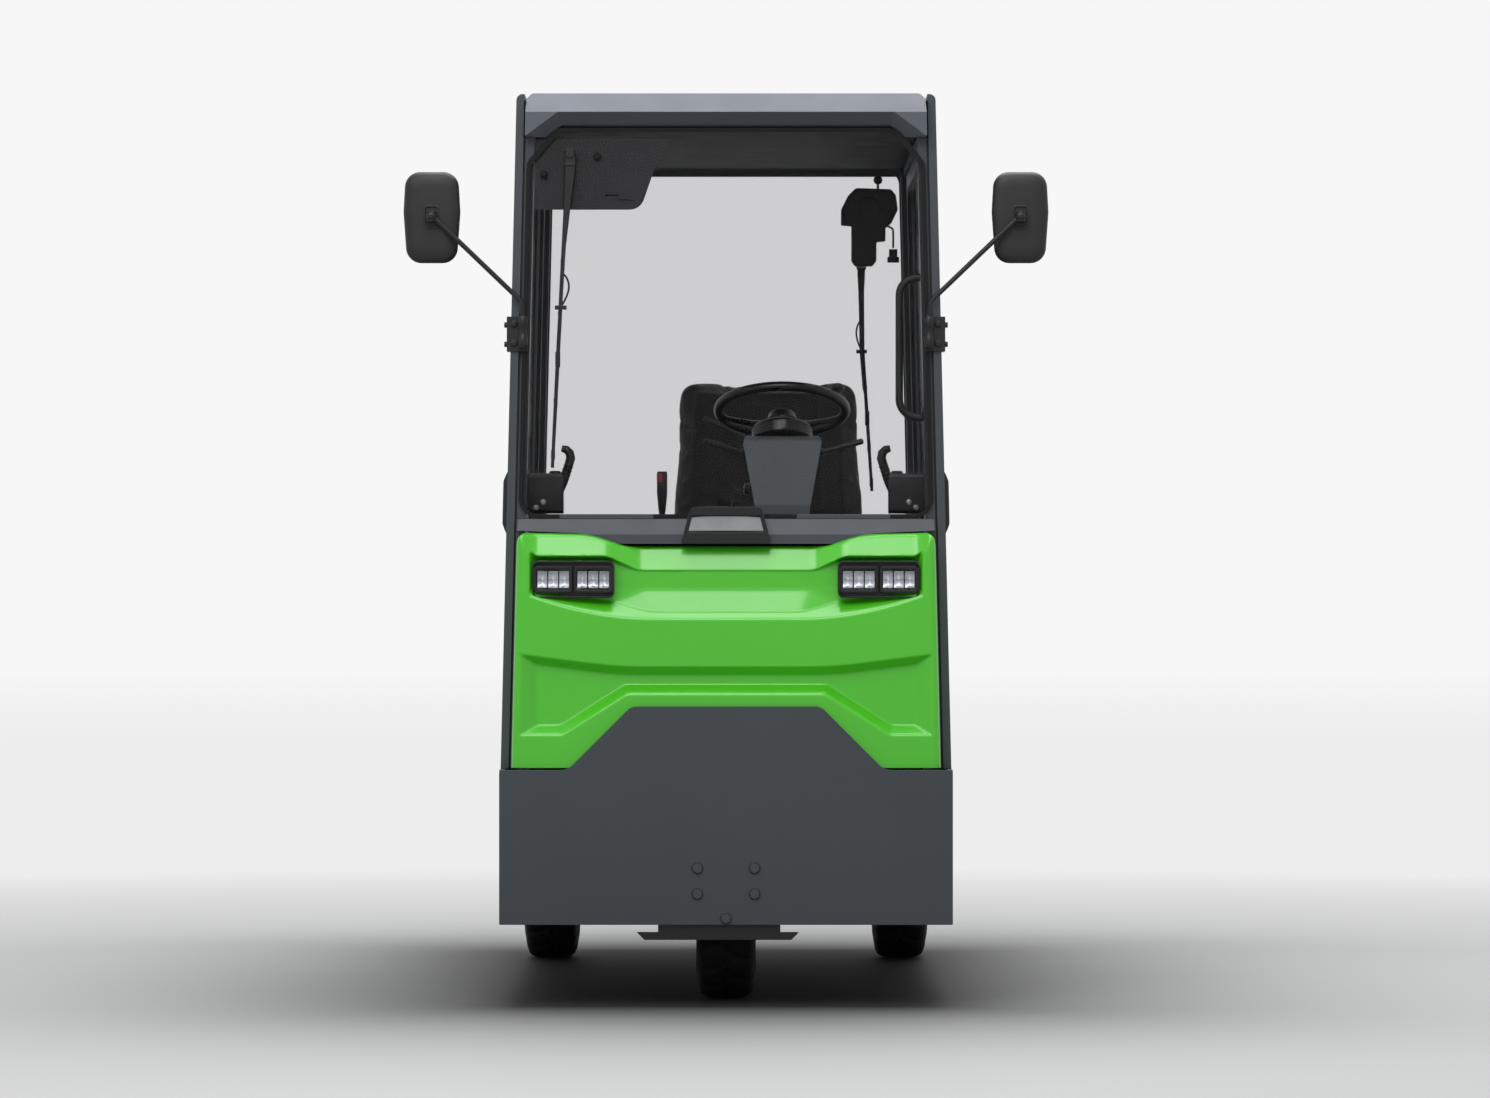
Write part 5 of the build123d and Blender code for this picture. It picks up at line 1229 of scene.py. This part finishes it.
def key_switch(x, y):
    """Key switch on the column's right cheek, with a key and its ring of keys."""
    form = Form()
    at = Vector((x - 76, y - 8, 1150))
    form.lathe([(0, 15), (4, 15), (6, 12), (12, 12), (13, 9)], at, (-1, -0.15, 0.1), 24)
    form.done("key_switch", "black_steel", CHASSIS, bevel=0.5)
    key = Form()
    key.block(at.x - 26, at.x - 11, at.y - 2.6, at.y - 0.6, at.z - 3, at.z + 3)
    key.lathe([(0, 8), (2, 8)], (at.x - 30, at.y - 2.8, at.z), (0, 1, 0), 24)
    ring = ring_about((at.x - 32, at.y - 1.6, at.z - 16), (0, 1, 0), 12, 28)
    key.tube(ring, 0.9, 6, closed=True)
    for lean in (-0.25, 0.12):
        top = Vector((at.x - 32 + lean * 16, at.y - 2, at.z - 28))
        key.loft([ring_about(top + Vector((lean * s, w, -s)), (lean * 0.2, 0, -1), 3.6, 4) for s, w in ((0, 0), (28, 1))])
    key.done("keys", "bolt_steel", CHASSIS, bevel=0.3)


def pedals():
    """Ribbed rubber pads on the accelerator and brake pedals."""
    low, high = span("pedals")
    form = Form()
    for x0, x1 in ((low.x, low.x + 80), (high.x - 60, high.x)):
        form.prism([(-640, low.z, 0), (-600, low.z, 6), (-561, low.z + 88, 3), (-574, low.z + 94, 3)], "X", x0 + 4, x1 - 4)
        for step in range(7):
            y = -596 + step * 5.2
            z = low.z + 12 + step * 11.7
            form.tube([(x0 + 6, y, z), (x1 - 6, y, z)], 2.2, 6)
    form.done("pedal_pads", "mat_rubber", CHASSIS, ["pedals"], bevel=0.8)


# ------------------------------------------------------------------ cab
def cab_lining():
    """Headliner, floor mats and the rear window's seal inside the cab."""
    rear = span("rear_wall")[0].y
    glass_y = span("windshield")[1].y
    ceiling = span("rear_wall")[1].z + 0.2
    form = Form()
    layers = [(ceiling - 8, rectangle(-414, 414, glass_y + 24, rear - 24, 24)),
              (ceiling - 6, rectangle(-430, 430, glass_y + 5, rear - 4, 20)),
              (ceiling, rectangle(-432, 432, glass_y + 3, rear - 2, 20))]
    form.stack("Z", layers, 6)
    form.done("headliner", "shelf_plastic", CHASSIS, bevel=1.5)
    floor_low, floor_high = span("cab_floor")
    mat = Form()
    half = floor_high.x - 12
    thick = floor_low.z + 12
    mat.prism(rectangle(-half, half, -404, span("battery_hood")[0].y - 6, 12), "Z", thick + 0.4, thick + 4)
    for step in range(9):
        y = -392 + step * 13
        mat.tube([(-half + 14, y, thick + 4.2), (half - 14, y, thick + 4.2)], 1.6, 6)
    board = floor_high.z
    mat.prism(rectangle(-half + 14, half - 14, glass_y + 26, -436, 12), "Z", board + 0.4, board + 4)
    mat.done("floor_mats", "mat_rubber", CHASSIS, bevel=0.6)
    window = Form()
    low, high = span("rear_window")
    outer = mirrored([(high.x - 4, high.z - 2, 36), (high.x - 4, low.z + 2, 36)])
    inner = mirrored([(high.x - 13, high.z - 11, 30), (high.x - 13, low.z + 11, 30)])
    window.frame_ring(outer, inner, "Y", high.y + 0.3, high.y + 4, 6)
    window.done("rear_window_seal", "seal_rubber", CHASSIS, bevel=0.8)


def door_trim():
    """Window seals, pulls and latch details of both doors."""
    for side, name in ((-1, "right"), (1, "left")):
        body = "door_" + name
        low, high = span("door_frame_" + name)
        glass_low, glass_high = span("door_glass_" + name)
        y0, y1 = glass_low.y - 1, glass_high.y + 1
        z0, z1 = glass_low.z - 1, glass_high.z + 1
        form = Form()
        for inner_face in (0, 1):
            ring = []
            for (y, z, r) in ((y0, z0, 50), (y1, z0, 50), (y1, z1, 60), (y0, z1, 60)):
                ring.append((y, z, r))
            points = outline(ring, 8)
            depth = 26 if inner_face else 5
            path = [(side * (side_of_body(z) - depth), y, z) for y, z in points]
            form.tube(path, 5.5, 8, closed=True, flat=0.9)
        form.done("door_window_seal_" + name, "seal_rubber", body)
        latch(side, name, body)


def latch(side, name, body):
    """Door pull outside; latch case with its release lever, knob and screws inside."""
    low, high = span("door_latch_" + name)
    door_front = span("door_frame_" + name)[0].y
    pull = Form()
    middle = door_front + 73
    points = []
    for step in range(13):
        t = step / 12
        z = 1046 + 138 * t
        out = 10.2 * min(1, math.sin(math.pi * t) * 2.2)
        points.append((side * (side_of_body(z) + out - 4.5), middle, z))
    pull.tube(points, 6.2, 12, flat=1.7)
    for z in (1052, 1178):
        pull.lathe([(0, 13), (3, 13), (5, 9)], (side * (side_of_body(z) + 0.4), middle, z), (side, 0, 0), 24)
    pull.done("door_pull_" + name, "black_plastic", body, ["door_latch_" + name], bevel=0.6)
    latch_case(side, name, body, door_front)


def latch_case(side, name, body, door_front):
    """Latch case inside the door, with its release lever, hooked knob and bright bolts."""
    low, high = span("door_latch_" + name)
    y = door_front + 50
    case = Form()
    reach = sorted((side * 365, side * 450))
    case.prism(rectangle(door_front + 22, door_front + 84, 1090, 1180, 9), "X", *reach)
    case.block(*sorted((side * 378, side * 438)), door_front + 22.4, door_front + 30, 1127, 1131)
    case.lathe([(0, 13), (8, 13), (10, 10)], (side * 384, y, 1176), (0, 0, 1), 20)
    case.done("latch_case_" + name, "black_steel", body, bevel=1.2)
    bolts = Form()
    for x, z in ((410, 1115.5), (425.5, 1103)):
        bolts.bolt((side * x, door_front + 22.2, z), (0, -1, 0), 9, 4)
    bolts.done("latch_bolts_" + name, "bare_steel", body, bevel=0.3)
    lever = Form()
    lever.tube([(side * 382, y, 1124), (side * 366, y, 1160), (side * 353, y, 1200), (side * 349, y, 1214),
                (side * 351, y, 1226), (side * 359, y, 1234), (side * 369, y, 1236)],
               [10.5, 10.5, 10, 10.6, 10.2, 9.4, 7.4], 14)
    for share in range(4):
        z = 1170 + share * 9
        at = Vector((side * (362.6 - share * 2.9), y, z))
        lever.lathe([(-1.6, 10.4), (-1, 11.6), (1, 11.6), (1.6, 10.4)], at, (-side * 0.31, 0, 0.95), 18)
    lever.done("latch_lever_" + name, "smooth_plastic", body)


def grab_handle():
    """End flanges and screws of the grab handle."""
    low, high = span("grab_handle")
    form = Form()
    y = (low.y + high.y) / 2
    for z in (1310.0, 1600.0):
        x = high.x - 3.6
        form.prism(rectangle(y - 20, y + 20, z - 13, z + 13, 9), "X", x, x + 3)
        for dy in (-15, 15):
            form.screw((x, y + dy, z), (-1, 0, 0), 3.6, 2.4)
    form.done("grab_handle_flanges", "black_steel", CHASSIS, bevel=0.6)


def cover_plate_details():
    """Plate in the windshield's corner, up to the pillar, with its knobs and rubber slots."""
    low, high = span("wiper_cover")
    plate = Form()
    rows = [(-423, high.z, 0), (high.x, high.z, 0), (high.x - 42, high.z - 70, 8), (high.x - 72, low.z, 34)]
    plate.prism(rows + [(-426.5, low.z, 0)], "Y", low.y, high.y, 8)
    plate.done("cover_plate", "black_plastic", CHASSIS, ["wiper_cover"], bevel=0.8)
    y = low.y - 0.2
    form = Form()
    for x, z in ((-404, 1842), (-286, 1880)):
        form.lathe([(0, 9), (2, 9), (3, 5.5), (5, 5.5), (6, 8), (9, 8.4), (12, 5)], (x, y, z), (0, -0.5, 0), 22)
    for x, z, tilt in ((-253, 1796, 0), (-222, 1786, -3)):
        form.tube([(x - 15, y - 0.8, z - tilt / 2), (x + 15, y - 0.8, z + tilt / 2)], 2.6, 8)
    form.done("cover_plate_knobs", "seal_rubber", CHASSIS)


# ------------------------------------------------------------------ outside trim
def bumper_bolts():
    """Bolt heads with washers on the front plate."""
    low, high = span("front_bumper")
    form = Form()
    for x, z in ((63, 306), (63, 249), (-63, 306), (-63, 249), (0, 195)):
        form.lathe([(0, 13.5), (1.2, 13.2)], (x, low.y + 6, z), (0, -1, 0), 28)
        form.lathe([(1.2, 9.6), (1.4, 10.6), (5.2, 10.6), (5.9, 9.4), (5.9, 0.01)], (x, low.y + 6, z), (0, -1, 0), 6)
    form.done("bumper_bolts", "bolt_steel", CHASSIS, bevel=0.3, angle=25)


def tail_lamps():
    """Combination lamps: rubber base and red, amber and white lenses."""
    low, high = span("tail_lamps")
    for side, name in ((-1, "right"), (1, "left")):
        x0, x1 = side * (high.x - 100), side * high.x
        x0, x1 = min(x0, x1), max(x0, x1)
        base = Form()
        base.prism(rectangle(x0, x1, low.z, high.z, 12), "Y", low.y, low.y + 10)
        base.done("tail_lamp_base_" + name, "seal_rubber", CHASSIS,
                  ["tail_lamps"] if side > 0 else [], bevel=1.2)
        cells = ((0.0, 0.46, "tail_lens"), (0.46, 0.76, "amber_lens"), (0.76, 1.0, "white_lens"))
        for share0, share1, finish in cells:
            lens = Form()
            if side < 0:
                share0, share1 = 1 - share1, 1 - share0
            a, b = x0 + 4 + (x1 - x0 - 8) * share0, x0 + 4 + (x1 - x0 - 8) * share1
            rows = rectangle(a + 0.4, b - 0.4, low.z + 4, high.z - 4, 5)
            crown = rectangle(a + 3.4, b - 3.4, low.z + 8, high.z - 8, 4)
            lens.stack("Y", [(low.y + 9, rows), (high.y - 4, rows), (high.y - 0.5, crown)])
            lens.done(f"{finish}_{name}", finish, CHASSIS, bevel=0.8)


def deck_details():
    """Hinge knuckles and lifting grip of the deck lid."""
    low, high = span("rear_lid")
    hinges = Form()
    for x in (-300, 300):
        for step in (-1, 0, 1):
            hinges.rod((x + step * 22 - 10, low.y + 1, high.z + 1), (x + step * 22 + 10, low.y + 1, high.z + 1), 5, 16)
        hinges.block(x - 30, x + 30, low.y + 2, low.y + 40, high.z - 0.5, high.z + 2.5)
        for dx in (-20, 0, 20):
            hinges.screw((x + dx, low.y + 27, high.z + 2.4), (0, 0, 1), 4.2, 2)
    hinges.done("lid_hinges", "black_steel", "rear_lid", bevel=0.5)
    grip = Form()
    y = high.y - 60
    grip.tube([(-55, y, high.z - 1), (-52, y, high.z + 14), (-44, y, high.z + 19), (44, y, high.z + 19),
               (52, y, high.z + 14), (55, y, high.z - 1)], 5, 14)
    for x in (-55, 55):
        grip.lathe([(0, 13), (2.4, 12.5)], (x, y, high.z - 0.2), (0, 0, 1), 24)
    grip.done("lid_grip", "black_plastic", "rear_lid")


def roof_trim():
    """Drip seal between the roof moulding and the side rails, and the roof's screws."""
    low, high = span("roof")
    form = Form()
    for side in (-1, 1):
        x = side * (side_of_body(2000) - 20)
        form.tube([(x, low.y + 20, 2001), (x, high.y - 8, 2001)], 3, 8)
    form.done("roof_seals", "seal_rubber", CHASSIS)
    screws = Form()
    for side in (-1, 1):
        for y in (-780, -500, -200, 60, 280):
            screws.screw((side * side_of_body(1962), y, 1962), (side, 0, 0), 5, 2)
        for z in (640, 820, 1000, 1180, 1700, 1860):
            screws.screw((side * side_of_body(z), -812, z), (side, 0, 0), 4.5, 1.6)
    screws.done("cab_screws", "bolt_steel", CHASSIS)


# ------------------------------------------------------------------ stage
def floor_material():
    """Pale floor with a painted shadow pool round the tractor, on top of the shadow it casts, paling into the backdrop
    far away.
    """
    made, tree = empty_material("studio_floor")
    where = node(tree, "TexCoord").outputs["Object"]
    tone = tuple(bpy.context.scene.tug_colours.floor)
    # Painted shadow: the floor's colour darkens towards the tractor's footprint, down to a twentieth of its tone,
    # falling off with distance from it.
    about = node(tree, "VectorMath", {0: where, 1: (0, 0.1, 0)}, operation="ADD").outputs[0]
    about = node(tree, "VectorMath", {0: about}, operation="ABSOLUTE").outputs[0]
    about = node(tree, "VectorMath", {0: about, 1: (0.45, 0.85, 0)}, operation="SUBTRACT").outputs[0]
    about = node(tree, "VectorMath", {0: about, 1: (0, 0, 0)}, operation="MAXIMUM").outputs[0]
    about = node(tree, "VectorMath", {0: about}, operation="LENGTH").outputs["Value"]
    painted_shadow = node(tree, "Math", {0: math.exp(-1.3), 1: about}, operation="POWER").outputs[0]
    shaded = tinted(tree, painted_shadow, tone, tuple(value * 0.05 for value in tone))
    mottled = blended(tree, ranged(tree, noise(tree, where, 0.8, 2), 0, 1, 0, 0.015), shaded, (0, 0, 0))
    ground = node(tree, "BsdfPrincipled", {"Base Color": mottled, "Roughness": 0.7, "Specular IOR Level": 0.1})
    away = node(tree, "VectorMath", {0: where, 1: (0, 1.8, 0)}, operation="ADD").outputs[0]
    away = node(tree, "VectorMath", {0: away}, operation="LENGTH").outputs["Value"]
    far = ranged(tree, away, 3.2, 6.5, 0, 1)
    paled = tinted(tree, ranged(tree, away, 20, 44, 0, 1), shade(237, 237, 237), shade(247, 247, 247))
    sky = node(tree, "Emission", {"Color": paled, "Strength": 1.0})
    path = node(tree, "LightPath")
    seen = node(tree, "Math", {0: path.outputs["Is Camera Ray"], 1: path.outputs["Is Glossy Ray"]}, operation="ADD")
    seen = node(tree, "Math", {0: seen.outputs[0], 1: path.outputs["Is Transmission Ray"]}, operation="ADD",
                use_clamp=True)
    share = node(tree, "Math", {0: far, 1: seen.outputs[0]}, operation="MULTIPLY")
    mixed = node(tree, "MixShader", {0: share.outputs[0], 1: ground.outputs[0], 2: sky.outputs[0]})
    node(tree, "OutputMaterial", {"Surface": mixed.outputs[0]})
    return made


def studio_world(strength):
    """Even studio light, seen as a pale backdrop."""
    world = bpy.data.worlds.new("studio")
    world.use_nodes = True
    tree = world.node_tree
    tree.nodes.clear()
    path = node(tree, "LightPath")
    seen = node(tree, "Math", {0: path.outputs["Is Camera Ray"], 1: path.outputs["Is Glossy Ray"]}, operation="ADD")
    seen = node(tree, "Math", {0: seen.outputs[0], 1: path.outputs["Is Transmission Ray"]}, operation="ADD",
                use_clamp=True)
    light = node(tree, "Background", {"Color": (1, 1, 1, 1), "Strength": strength})
    backdrop = node(tree, "Background", {"Color": (*shade(247, 247, 247), 1), "Strength": 1.0})
    mixed = node(tree, "MixShader", {0: seen.outputs[0], 1: light.outputs[0], 2: backdrop.outputs[0]})
    node(tree, "OutputWorld", {"Surface": mixed.outputs[0]})
    bpy.context.scene.world = world


def soft_light(name, at, aim, width, height, power):
    data = bpy.data.lights.new(name, "AREA")
    data.shape = "RECTANGLE"
    data.size = width
    data.size_y = height
    data.energy = power
    lamp = bpy.data.objects.new(name, data)
    lamp.location = at
    lamp.rotation_euler = (Vector(aim) - Vector(at)).to_track_quat("-Z", "Y").to_euler()
    bpy.context.scene.collection.objects.link(lamp)
    lamp.visible_camera = False
    return lamp


def stage(settings):
    """Floor, light and camera."""
    form = Form()
    form.loft([[(x * 1000, y * 1000, 0) for x in (-60, 60)] for y in (-60, 60)], wrap=False)
    form.mesh.normal_update()
    data = bpy.data.meshes.new("studio_floor")
    form.mesh.to_mesh(data)
    form.mesh.free()
    floor = bpy.data.objects.new("studio_floor", data)
    bpy.context.scene.collection.objects.link(floor)
    data.materials.append(floor_material())
    studio_world(settings.ambient)
    soft_light("front_light", (-1.2, -5.5, 5.6), (0, -0.4, 0.9), 5.0, 3.4, settings.front)
    soft_light("top_light", (0.4, 0.2, 5.2), (0, 0, 1), 4.0, 4.0, settings.top)
    camera = bpy.data.objects.new("camera", bpy.data.cameras.new("camera"))
    camera.location = (0, -settings.distance, settings.height)
    camera.rotation_euler = (math.radians(90), 0, 0)
    camera.data.lens = settings.lens
    camera.data.sensor_width = 36.0
    camera.data.shift_x = 0.01275
    camera.data.shift_y = 0.01745
    camera.data.clip_end = 200.0
    bpy.context.scene.collection.objects.link(camera)
    bpy.context.scene.camera = camera
    bpy.context.scene.view_settings.view_transform = "Standard"


# ------------------------------------------------------------------ operators
class TUG_OT_node_finishes(bpy.types.Operator):
    """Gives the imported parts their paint, plastic, rubber, glass and metal"""
    bl_idname = "tug.node_finishes"
    bl_label = "Finish the packed parts"

    def execute(self, context):
        finish_nodes()
        return {"FINISHED"}


class TUG_OT_front_cover(bpy.types.Operator):
    """Adds the moulded front cover"""
    bl_idname = "tug.front_cover"
    bl_label = "Front cover"

    def execute(self, context):
        front_cover(context.scene.tug_sizes)
        return {"FINISHED"}


class TUG_OT_lamps(bpy.types.Operator):
    """Adds the head lamps and the centre lamp"""
    bl_idname = "tug.lamps"
    bl_label = "Lamps"

    def execute(self, context):
        head_lamps()
        centre_lamp()
        return {"FINISHED"}


class TUG_OT_scuttle(bpy.types.Operator):
    """Adds the trim under the windshield"""
    bl_idname = "tug.scuttle"
    bl_label = "Scuttle trim"

    def execute(self, context):
        scuttle_trim()
        return {"FINISHED"}


class TUG_OT_tyres(bpy.types.Operator):
    """Adds the treaded tyres"""
    bl_idname = "tug.tyres"
    bl_label = "Tyres"

    def execute(self, context):
        for name in TYRE_BODIES:
            tyre(name, context.scene.tug_sizes)
        return {"FINISHED"}


class TUG_OT_mirrors(bpy.types.Operator):
    """Adds the mirrors and their arms"""
    bl_idname = "tug.mirrors"
    bl_label = "Mirrors"

    def execute(self, context):
        mirrors()
        return {"FINISHED"}


class TUG_OT_wipers(bpy.types.Operator):
    """Adds the wipers and the rear wiper's drive"""
    bl_idname = "tug.wipers"
    bl_label = "Wipers"

    def execute(self, context):
        front_wiper()
        rear_wiper()
        rear_wiper_motor()
        return {"FINISHED"}


class TUG_OT_seat(bpy.types.Operator):
    """Adds the padded seat, its base and the belt buckle"""
    bl_idname = "tug.seat"
    bl_label = "Seat"

    def execute(self, context):
        seat()
        belt_buckle()
        return {"FINISHED"}


class TUG_OT_steering(bpy.types.Operator):
    """Adds the steering wheel, the column's controls and the pedals"""
    bl_idname = "tug.steering"
    bl_label = "Steering"

    def execute(self, context):
        steering_wheel()
        console()
        pedals()
        return {"FINISHED"}


class TUG_OT_cab_lining(bpy.types.Operator):
    """Adds the headliner, mats and window seal"""
    bl_idname = "tug.cab_lining"
    bl_label = "Cab lining"

    def execute(self, context):
        cab_lining()
        cover_plate_details()
        grab_handle()
        return {"FINISHED"}


class TUG_OT_doors(bpy.types.Operator):
    """Adds the doors' seals, pulls and latches"""
    bl_idname = "tug.doors"
    bl_label = "Door trim"

    def execute(self, context):
        door_trim()
        return {"FINISHED"}


class TUG_OT_outside_trim(bpy.types.Operator):
    """Adds bolts, tail lamps, the lid's fittings and the roof's trim"""
    bl_idname = "tug.outside_trim"
    bl_label = "Outside trim"

    def execute(self, context):
        bumper_bolts()
        tail_lamps()
        deck_details()
        roof_trim()
        return {"FINISHED"}


class TUG_OT_stage(bpy.types.Operator):
    """Adds the floor, the light and the camera"""
    bl_idname = "tug.stage"
    bl_label = "Stage"

    def execute(self, context):
        stage(context.scene.tug_stage)
        return {"FINISHED"}


OPERATORS = (TUG_OT_node_finishes, TUG_OT_front_cover, TUG_OT_lamps, TUG_OT_scuttle, TUG_OT_tyres,
             TUG_OT_mirrors, TUG_OT_wipers, TUG_OT_seat, TUG_OT_steering,
             TUG_OT_cab_lining, TUG_OT_doors, TUG_OT_outside_trim, TUG_OT_stage)
GROUPS = {"tug_colours": TugColours, "tug_sizes": TugSizes, "tug_stage": TugStage}


class TUG_PT_build(bpy.types.Panel):
    """Lists the tractor's pieces and settings"""
    bl_idname = "TUG_PT_build"
    bl_label = "Tow tractor"
    bl_space_type = "VIEW_3D"
    bl_region_type = "UI"
    bl_category = "Tow tractor"

    def draw(self, context):
        for name, group in GROUPS.items():
            column = self.layout.column(align=True)
            for key in group.__annotations__:
                column.prop(getattr(context.scene, name), key)
        for operator in OPERATORS:
            self.layout.operator(operator.bl_idname)


def register():
    for kind in (*GROUPS.values(), *OPERATORS, TUG_PT_build):
        bpy.utils.register_class(kind)
    for name, group in GROUPS.items():
        setattr(bpy.types.Scene, name, bpy.props.PointerProperty(type=group))


def unregister():
    for name in GROUPS:
        delattr(bpy.types.Scene, name)
    for kind in (TUG_PT_build, *reversed(OPERATORS), *GROUPS.values()):
        bpy.utils.unregister_class(kind)


def main():
    register()
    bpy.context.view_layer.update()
    for operator in OPERATORS:
        group, name = operator.bl_idname.split(".")
        getattr(getattr(bpy.ops, group), name)()


if __name__ == "__main__":
    main()
